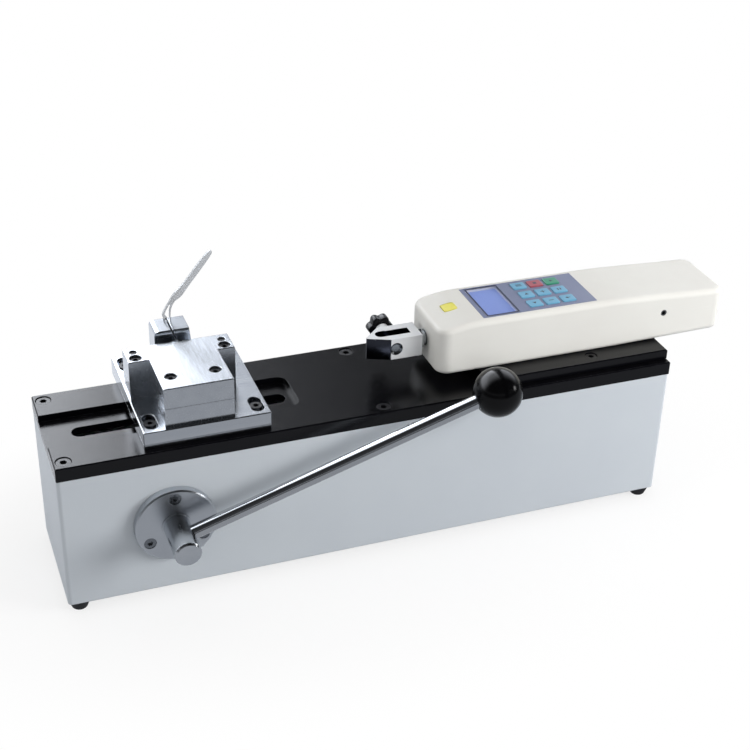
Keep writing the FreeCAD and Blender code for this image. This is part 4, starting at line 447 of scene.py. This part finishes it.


# The wedge's cheeks, the pin hole's mouth and the slot are milled bright after the blasting.
# The cheeks then carry a painted dark reflection, and the slot's walls painted shade.
spot = put(tree, "TexCoord").outputs["Object"]
at = put(tree, "SeparateXYZ", {"Vector": spot}).outputs
facing = put(tree, "SeparateXYZ", {"Vector": put(tree, "NewGeometry").outputs["Normal"]})
upward = sum_of(tree, facing.outputs["Z"], 0.0, "ABSOLUTE")
wedge = sum_of(tree, side_of(tree, at["X"], block_low.x + wedge_long),
               side_of(tree, upward, wedge_tilt))
off_pin = put(tree, "VectorMath", {0: spot, 1: (pin_low + pin_high) / 2}, operation="SUBTRACT")
off_pin = put(tree, "VectorMath", {0: off_pin.outputs["Vector"], 1: (1, 0, 1)},
              operation="MULTIPLY")
off_pin = put(tree, "VectorMath", {0: off_pin.outputs["Vector"]}, operation="LENGTH")
mouth = sum_of(tree, side_of(tree, off_pin.outputs["Value"], mouth_radius),
               side_of(tree, at["Y"], block_low.y + mouth_depth))
in_slot = sum_of(tree, side_of(tree, sum_of(tree, at["Y"], 0.0, "ABSOLUTE"), slot_half),
                 side_of(tree, at["Z"], block_high.z - slot_rim))
in_slot = sum_of(tree, in_slot, side_of(tree, at["X"], block_low.x + slot_start, False))
milled = sum_of(tree, sum_of(tree, wedge, mouth, "MAXIMUM"), in_slot, "MAXIMUM")
body = tree.nodes["Principled BSDF"]
for name, value in (("Metallic", 1.0), ("Roughness", 0.12)):
    links = body.inputs[name].links
    blasted = links[0].from_socket if links else body.inputs[name].default_value
    settled = put(tree, "Mix", {"Factor": milled, "A": blasted, "B": value})
    tree.links.new(settled.outputs["Result"], body.inputs[name])
colour = body.inputs["Base Color"].links[0].from_socket
colour = mix(tree, milled, colour, shade("a7abb1"))
# Painted dark reflection on the wedge's cheeks and painted shade on the slot's walls.
colour = mix(tree, sum_of(tree, wedge, in_slot, "MAXIMUM"), colour, shade("3c3e46"))
tree.links.new(colour, body.inputs["Base Color"])
dress(["terminal_block"], block_steel)
dress(["cross_pin", "thumb_screw"], shaft_steel, 0.15 * MM)

# Thumb knob: six soft lobes moulded in black plastic on the thumb screw behind the block.
# Both ends are rounded, and the far end is slightly dished.
knob_low, knob_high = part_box("thumb_knob")
knob_x = (knob_low.x + knob_high.x) / 2
knob_z = (knob_low.z + knob_high.z) / 2
knob_black = finish_of("moulded knob plastic", (shade("0b0b0d"), shade("121215")), (0.22, 0.36),
                       size=1600.0, bump=0.2, worn=(shade("3a3a3e"), 0.4), shader={"IOR": 1.35})
lobes = 6
lobe_foot = 7.5
lobe_tall = 2.05
lobe_sharpness = 0.8
knob_steps = 96


def lobed_ring(y, inset):
    """One ring of the knob at a depth, set in by some millimetres."""
    ring = []
    for step in range(knob_steps):
        angle = math.radians(step * 360 / knob_steps)
        wave = 0.5 + 0.5 * math.cos(lobes * angle)
        radius = lobe_foot + lobe_tall * wave ** lobe_sharpness - inset
        ring.append((knob_x + radius * MM * math.cos(angle), y,
                     knob_z + radius * MM * math.sin(angle)))
    return ring


work = bmesh.new()
deep = (knob_high.y - knob_low.y) / MM
loft(work, [lobed_ring(knob_low.y + along * MM, inset) for along, inset in (
    (0, 3.2), (0, 1.1), (0.3, 0.4), (1, 0), (deep / 2, -0.05), (deep - 1.3, 0),
    (deep - 0.4, 0.45), (deep, 1.2), (deep, 2.6), (deep - 0.5, 4.2))])
knob = one_mesh("moulded_thumb_knob", work, knob_black, "thumb")
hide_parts("thumb_knob")

# Gauge case: two moulded halves in warm off-white plastic with a fine spark texture, screwed
# together along a level seam.
case = finish_of("off-white case plastic", (shade("e8e7e1"), shade("e4e2dc")), (0.38, 0.5),
                 size=2400.0, bump=0.14, dust=0.03, reach=0.0002, patches=12.0)
dress(["gauge_upper_case", "gauge_lower_case"], case)

# Keypad panel: a blue-grey printed film laid in the case's recess, with windows for the keys.
panel = finish_of("printed panel film", (shade("69708f"), shade("6e7793")), (0.3, 0.42),
                  size=3000.0, bump=0.12, worn=(shade("9aa3b5"), 0.3), patches=26.0,
                  shader={"Coat Weight": 0.15, "Coat Roughness": 0.3})
dress(["keypad_panel"], panel, 0.05 * MM)

# Display: a clear lens with a printed navy border, over a periwinkle back-lit module.
lens = finish_of("display lens", (shade("8fa0dc"), shade("8797d4")), (0.04, 0.08), size=300.0,
                 bump=0.01, shader={"Alpha": 0.16})
dress(["display_window"], lens)
glow = finish_of("back-lit display", (shade("8ea6de"), shade("869cd8")), (0.3, 0.4),
                 size=1800.0, bump=0.02, patches=40.0,
                 shader={"Emission Color": shade("8ba0e0"), "Emission Strength": 0.22})
dress(["display_module"], glow)
lens_low, lens_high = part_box("display_window")
navy = finish_of("printed navy border", (shade("1a2140"), shade("20284a")), (0.25, 0.35),
                 size=2000.0, bump=0.04)
work = bmesh.new()
border = 1.3 * MM
skin = 0.05 * MM


def flat_slab(work, x0, y0, x1, y1, low, high):
    """A thin level plate."""
    loft(work, [[(x0, y0, z), (x1, y0, z), (x1, y1, z), (x0, y1, z)] for z in (low, high)])


for box in ((lens_low.x, lens_low.y, lens_high.x, lens_low.y + border),
            (lens_low.x, lens_high.y - border, lens_high.x, lens_high.y),
            (lens_low.x, lens_low.y + border, lens_low.x + border, lens_high.y - border),
            (lens_high.x - border, lens_low.y + border, lens_high.x, lens_high.y - border)):
    flat_slab(work, *box, lens_high.z, lens_high.z + skin)
one_mesh("display_border", work, navy, "bench", False)

# Keys: nine moulded caps with rounded corners and flat tops, each on a stem through its window.
# Each carries one small printed sign. The back row has a red and a green key.
key_colours = {"key_2_1": ("a8505c", "key_red"), "key_3_1": ("318f70", "key_green")}
sign_ink = finish_of("printed signs", (shade("1d2b3c"), shade("253447")), (0.35, 0.5),
                     size=2500.0, bump=0.05)


def cap_ring(box, inset, round_by, z):
    """A level ring with rounded corners, set in from the cap's sides."""
    ring = []
    low, high = box
    corners = ((high.x, high.y, 0), (low.x, high.y, 90), (low.x, low.y, 180),
               (high.x, low.y, 270))
    for x, y, turn in corners:
        cx = x - math.copysign(inset + round_by, x - (low.x + high.x) / 2)
        cy = y - math.copysign(inset + round_by, y - (low.y + high.y) / 2)
        for step in range(7):
            angle = math.radians(turn + step * 15)
            ring.append((cx + round_by * math.cos(angle), cy + round_by * math.sin(angle), z))
    return ring


def bar(x, y, half_long, half_wide):
    """A rectangle round a point."""
    return [(x - half_long, y - half_wide), (x + half_long, y - half_wide),
            (x + half_long, y + half_wide), (x - half_long, y + half_wide)]


# Signs as flat outlines round the cap's middle, in millimetres.
SIGNS = {
    "key_1_1": [bar(0, 0, 2.2, 0.3), bar(0, 1.15, 2.2, 0.25), bar(0, -1.15, 2.2, 0.25)],
    "key_2_1": [bar(0, 0, 1.3, 1.3)],
    "key_3_1": [[(-1.2, -1.5), (1.7, 0), (-1.2, 1.5)]],
    "key_1_2": [[(-1.6, -1), (1.6, -1), (0, 1.5)]],
    "key_2_2": [bar(0, 0, 1.9, 0.35), bar(0, 1.075, 0.35, 0.725), bar(0, -1.075, 0.35, 0.725)],
    "key_3_2": [bar(-1, 0, 0.5, 1.4), bar(1, 0, 0.5, 1.4)],
    "key_1_3": [[(-1.6, 1), (0, -1.5), (1.6, 1)]],
    "key_2_3": [bar(0, 0, 1.9, 0.35)],
    "key_3_3": [[(-1.9, 0), (0.2, -1.4), (0.2, 1.4)], bar(1.1, 0, 0.9, 0.35)],
}
# A cap's rings from the collar up: set in by, corner radius and depth below the top.
CAP_RINGS = ((0, 0.9, 2.95), (0, 0.9, 0.35), (0.1, 0.9, 0.13), (0.35, 0.8, 0.02), (0.8, 0.6, 0))
COLLAR_DEPTHS = (3.75, 3.0)
collar_rim = 0.8 * MM
collar_corner = 0.6 * MM
stem_radius = 1.8 * MM
sign_low, sign_high = 0.01 * MM, 0.03 * MM
for name, signs in SIGNS.items():
    code, slot = key_colours.get(name, ("6caaca", "key_blue"))
    low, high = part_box(name)
    cap = (Vector((low.x + collar_rim, low.y + collar_rim, low.z)),
           Vector((high.x - collar_rim, high.y - collar_rim, high.z)))
    plastic = bpy.data.materials.get("moulded " + slot) or finish_of(
        "moulded " + slot, (shade(code), [c * 0.9 for c in shade(code)[:3]] + [1.0]),
        (0.3, 0.42), size=2600.0, bump=0.12, worn=(shade("cfd8df"), 0.25), reach=0.0004)
    work = bmesh.new()
    collar = [cap_ring((low, high), 0, collar_corner, high.z - depth * MM)
              for depth in COLLAR_DEPTHS]
    loft(work, collar + [cap_ring(cap, inset * MM, corner * MM, high.z - depth * MM)
                         for inset, corner, depth in CAP_RINGS])
    middle = (low + high) / 2
    stem = [(middle.x + stem_radius * math.cos(math.radians(degrees)),
             middle.y + stem_radius * math.sin(math.radians(degrees)))
            for degrees in range(0, 360, 20)]
    stem_top = high.z - COLLAR_DEPTHS[0] * MM
    loft(work, [[(x, y, z) for x, y in stem] for z in (low.z, stem_top)])
    body = "key_body_" + name[4:]
    cap_piece = one_mesh("cap_" + name, work, plastic, body)
    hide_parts(name)
    work = bmesh.new()
    for outline in signs:
        loft(work, [[(middle.x + a * MM, middle.y + b * MM, z) for a, b in outline]
                    for z in (high.z - sign_low, high.z + sign_high)])
    one_mesh("sign_" + name, work, sign_ink, body, False)

# Yellow patch: a plain vinyl sticker without any print, pressed onto the curved nose.
case_mesh = nodes["gauge_upper_case"].data
case_tree = BVHTree.FromPolygons([v.co.copy() for v in case_mesh.vertices],
                                 [tuple(p.vertices) for p in case_mesh.polygons])
patch_x, patch_y = 0.0665, 0.002
patch_long, patch_wide = 10.5 * MM, 11 * MM
patch_low, patch_high = 0.02 * MM, 0.14 * MM
corner_pull = 0.10
above_case = 0.3
steps = 12
grid = []
for i in range(steps + 1):
    row = []
    for j in range(steps + 1):
        a, b = 2 * i / steps - 1, 2 * j / steps - 1
        square = max(abs(a), abs(b)) or 1
        pull = 1 - corner_pull * (min(abs(a), abs(b)) / square) ** 3 * square
        over = Vector((patch_x + a * pull * patch_long / 2,
                       patch_y + b * pull * patch_wide / 2, above_case))
        row.append(case_tree.ray_cast(over, Vector((0, 0, -1)))[0])
    grid.append(row)
work = bmesh.new()
layers = [[[work.verts.new(hit + Vector((0, 0, lift))) for hit in row] for row in grid]
          for lift in (patch_low, patch_high)]
for layer in layers:
    for i in range(steps):
        for j in range(steps):
            work.faces.new((layer[i][j], layer[i + 1][j], layer[i + 1][j + 1], layer[i][j + 1]))
under, over = layers
for i in range(steps):
    for (a, b), (c, d) in (((i, 0), (i + 1, 0)), ((i, steps), (i + 1, steps)),
                           ((0, i), (0, i + 1)), ((steps, i), (steps, i + 1))):
        work.faces.new((under[a][b], under[c][d], over[c][d], over[a][b]))
vinyl = finish_of("yellow vinyl", (shade("e4db45"), shade("ece468")), (0.3, 0.42), size=900.0,
                  bump=0.05, patches=160.0)
one_mesh("plain_patch", work, vinyl, "bench")

# Charging socket: a nickel plated barrel in the case's front side.
nickel = finish_of("nickel barrel", (shade("8d8f92"), shade("77797c")), (0.25, 0.4), size=800.0,
                   bump=0.01, metallic=1.0, worn=(shade("c4c6c8"), 0.6))
dress(["charge_socket"], nickel, 0.1 * MM)

# Pieces inside the gauge: the load cell, the green circuit board and the wrapped battery pack.
cell = finish_of("load cell aluminium", (shade("b5b8ba"), shade("a4a8ab")), (0.3, 0.42),
                 stretch=(0.06, 1, 1), size=1100.0, bump=0.01, metallic=1.0)
dress(["load_cell"], cell, 0.2 * MM)
laminate = finish_of("board laminate", (shade("1f5b3a"), shade("276845")), (0.3, 0.5),
                     size=1300.0, bump=0.15)
dress(["circuit_board"], laminate)
wrap = finish_of("battery wrap", (shade("2c4f8a"), shade("345a99")), (0.3, 0.45), size=500.0,
                 bump=0.1)
dress(["battery_pack"], wrap, 0.6 * MM)

# Studio: a pale floor that fades to plain white round the object and keeps its shadow,
# a sky that is bright behind the bench and dark in front of it, and soft lamps.
work = bmesh.new()
floor_size = 6.0
corners = [work.verts.new((a * floor_size, b * floor_size, 0))
           for a, b in ((-1, -1), (1, -1), (1, 1), (-1, 1))]
work.faces.new(corners)
floor_mesh = bpy.data.meshes.new("floor")
work.to_mesh(floor_mesh)
work.free()
floor = bpy.data.objects.new("floor", floor_mesh)
bpy.context.scene.collection.objects.link(floor)
paper = bpy.data.materials.new("studio paper")
paper.use_nodes = True
tree = paper.node_tree
tree.nodes.clear()
matt = put(tree, "BsdfDiffuse", {"Color": shade("8c8f95")}).outputs["BSDF"]
shadowed = put(tree, "BsdfDiffuse", {"Color": (1, 1, 1, 1)}).outputs["BSDF"]
white = put(tree, "Emission", {"Color": (1, 1, 1, 1), "Strength": 1.0}).outputs["Emission"]
spot = put(tree, "TexCoord").outputs["Object"]
spread = put(tree, "VectorMath", {0: spot, 1: (1.0, 1.9, 1.0)}, operation="MULTIPLY")
far = put(tree, "VectorMath", {0: spread.outputs["Vector"]}, operation="LENGTH")
fade = put(tree, "MapRange", {"Value": far.outputs["Value"], "From Min": 0.22, "From Max": 0.42,
                              "To Min": 0.75, "To Max": 1.0},
           interpolation_type="SMOOTHSTEP").outputs["Result"]
seen = put(tree, "MixShader", {0: fade, 1: shadowed, 2: white}).outputs["Shader"]
back = put(tree, "SeparateXYZ", {"Vector": spot}).outputs["Y"]
back = put(tree, "MapRange", {"Value": back, "From Min": -0.05, "From Max": 0.15,
                              "To Min": 0.46, "To Max": 0.95}).outputs["Result"]
mirrored = put(tree, "Emission", {"Color": shade("f4f8ff"), "Strength": back})
rays = put(tree, "LightPath").outputs
both = put(tree, "MixShader", {0: rays["Is Glossy Ray"], 1: matt,
                               2: mirrored.outputs["Emission"]}).outputs["Shader"]
both = put(tree, "MixShader", {0: rays["Is Camera Ray"], 1: both, 2: seen}).outputs["Shader"]
out = put(tree, "OutputMaterial")
tree.links.new(both, out.inputs["Surface"])
floor_mesh.materials.append(paper)

# The sky: white to the camera, even for soft light, and a window across the back wall for
# what is polished. WINDOW gives how bright it is from the middle to the right.
world = bpy.data.worlds.new("studio")
bpy.context.scene.world = world
world.use_nodes = True
tree = world.node_tree
tree.nodes.clear()
way = put(tree, "SeparateXYZ", {"Vector": put(tree, "TexCoord").outputs["Generated"]}).outputs
in_front = put(tree, "MapRange", {"Value": way["Z"], "From Min": 0.28, "From Max": 0.38,
                                  "To Min": 0.12, "To Max": 0.008}).outputs["Result"]
behind = put(tree, "MapRange", {"Value": way["Y"], "From Min": -0.1, "From Max": 0.5,
                                "To Min": in_front, "To Max": 1.0},
             interpolation_type="SMOOTHSTEP").outputs["Result"]
across = put(tree, "ValToRGB", {"Fac": way["X"]})
WINDOW = ((0.0, 0.8), (0.10, 1.0), (0.135, 0.38), (0.165, 0.105), (0.20, 0.06),
          (0.24, 0.075), (0.30, 0.01), (0.41, 0.04), (0.47, 0.4))
window_strength = 9.0
ramp = across.color_ramp
for stop, bright in WINDOW[1:-1]:
    ramp.elements.new(stop)
for element, (stop, bright) in zip(ramp.elements, WINDOW):
    element.position = stop
    element.color = (bright, bright, bright, 1)
level = sum_of(tree, across.outputs["Color"], behind)
# The window fades towards the horizon and overhead.
for low, high, below, above in ((0.22, 0.38, 0.12, 1.0), (0.66, 0.8, 1.0, 0.6)):
    band = put(tree, "MapRange", {"Value": way["Z"], "From Min": low, "From Max": high,
                                  "To Min": below, "To Max": above}).outputs["Result"]
    level = sum_of(tree, level, band)
level = sum_of(tree, level, window_strength)
window = put(tree, "Background", {"Color": shade("f4f8ff"),
                                  "Strength": level}).outputs["Background"]
soft = put(tree, "Background", {"Color": (1, 1, 1, 1), "Strength": 0.42}).outputs["Background"]
plain = put(tree, "Background", {"Color": (1, 1, 1, 1), "Strength": 1.0}).outputs["Background"]
rays = put(tree, "LightPath").outputs
both = put(tree, "MixShader", {0: rays["Is Glossy Ray"], 1: soft, 2: window}).outputs["Shader"]
both = put(tree, "MixShader", {0: rays["Is Camera Ray"], 1: both, 2: plain}).outputs["Shader"]
out = put(tree, "OutputWorld")
tree.links.new(both, out.inputs["Surface"])


def lamp(name, spot, aim, size, power, mirrored=False):
    """A round soft lamp that looks at a point, mirrored in glossy surfaces or not."""
    light = bpy.data.lights.new(name, "AREA")
    light.shape = "DISK"
    light.size = size
    light.energy = power
    thing = bpy.data.objects.new(name, light)
    thing.visible_glossy = mirrored
    thing.location = spot
    thing.rotation_euler = (Vector(aim) - Vector(spot)).to_track_quat("-Z", "Y").to_euler()
    bpy.context.scene.collection.objects.link(thing)


lamp("key", (1.1, -0.8, 0.55), (0.2, 0, 0.1), 0.8, 15.0)
lamp("top", (0.1, 0.2, 1.7), (0, 0, 0.1), 1.2, 2.0)
lamp("front_fill", (0.1, -2.2, 0.6), (0, 0, 0.1), 1.2, 5.0)
lamp("left_fill", (-1.7, -0.2, 0.6), (-0.2, 0, 0.1), 0.8, 7.0)
lamp("back_fill", (-0.3, 2.2, 0.6), (0, 0, 0.1), 1.2, 7.0)
lamp("glint", (0.94, -0.4, 0.43), (0.05, -0.15, 0.15), 0.22, 0.9, True)

# Camera: stands left in front of the bench, looks down at it, and is turned slightly.
lens_length = 70.81
sensor_width = 36.0
near_limit = 0.05
lean = 0.0266
eye = Vector((-0.3130, -0.8484, 0.6575))
ahead = Vector((0.30723, 0.80406, -0.50901)).normalized()
level_right = ahead.cross(Vector((0, 0, 1))).normalized()
level_up = level_right.cross(ahead)
roll = math.asin(lean)
right = level_right * math.cos(roll) + level_up * math.sin(roll)
up = right.cross(ahead)
lens_data = bpy.data.cameras.new("camera")
lens_data.lens = lens_length
lens_data.sensor_width = sensor_width
lens_data.clip_start = near_limit
camera = bpy.data.objects.new("camera", lens_data)
turn = Matrix((right, up, -ahead)).transposed().to_4x4()
camera.matrix_world = Matrix.Translation(eye) @ turn
bpy.context.scene.collection.objects.link(camera)
bpy.context.scene.camera = camera
bpy.context.scene.view_settings.view_transform = "Standard"
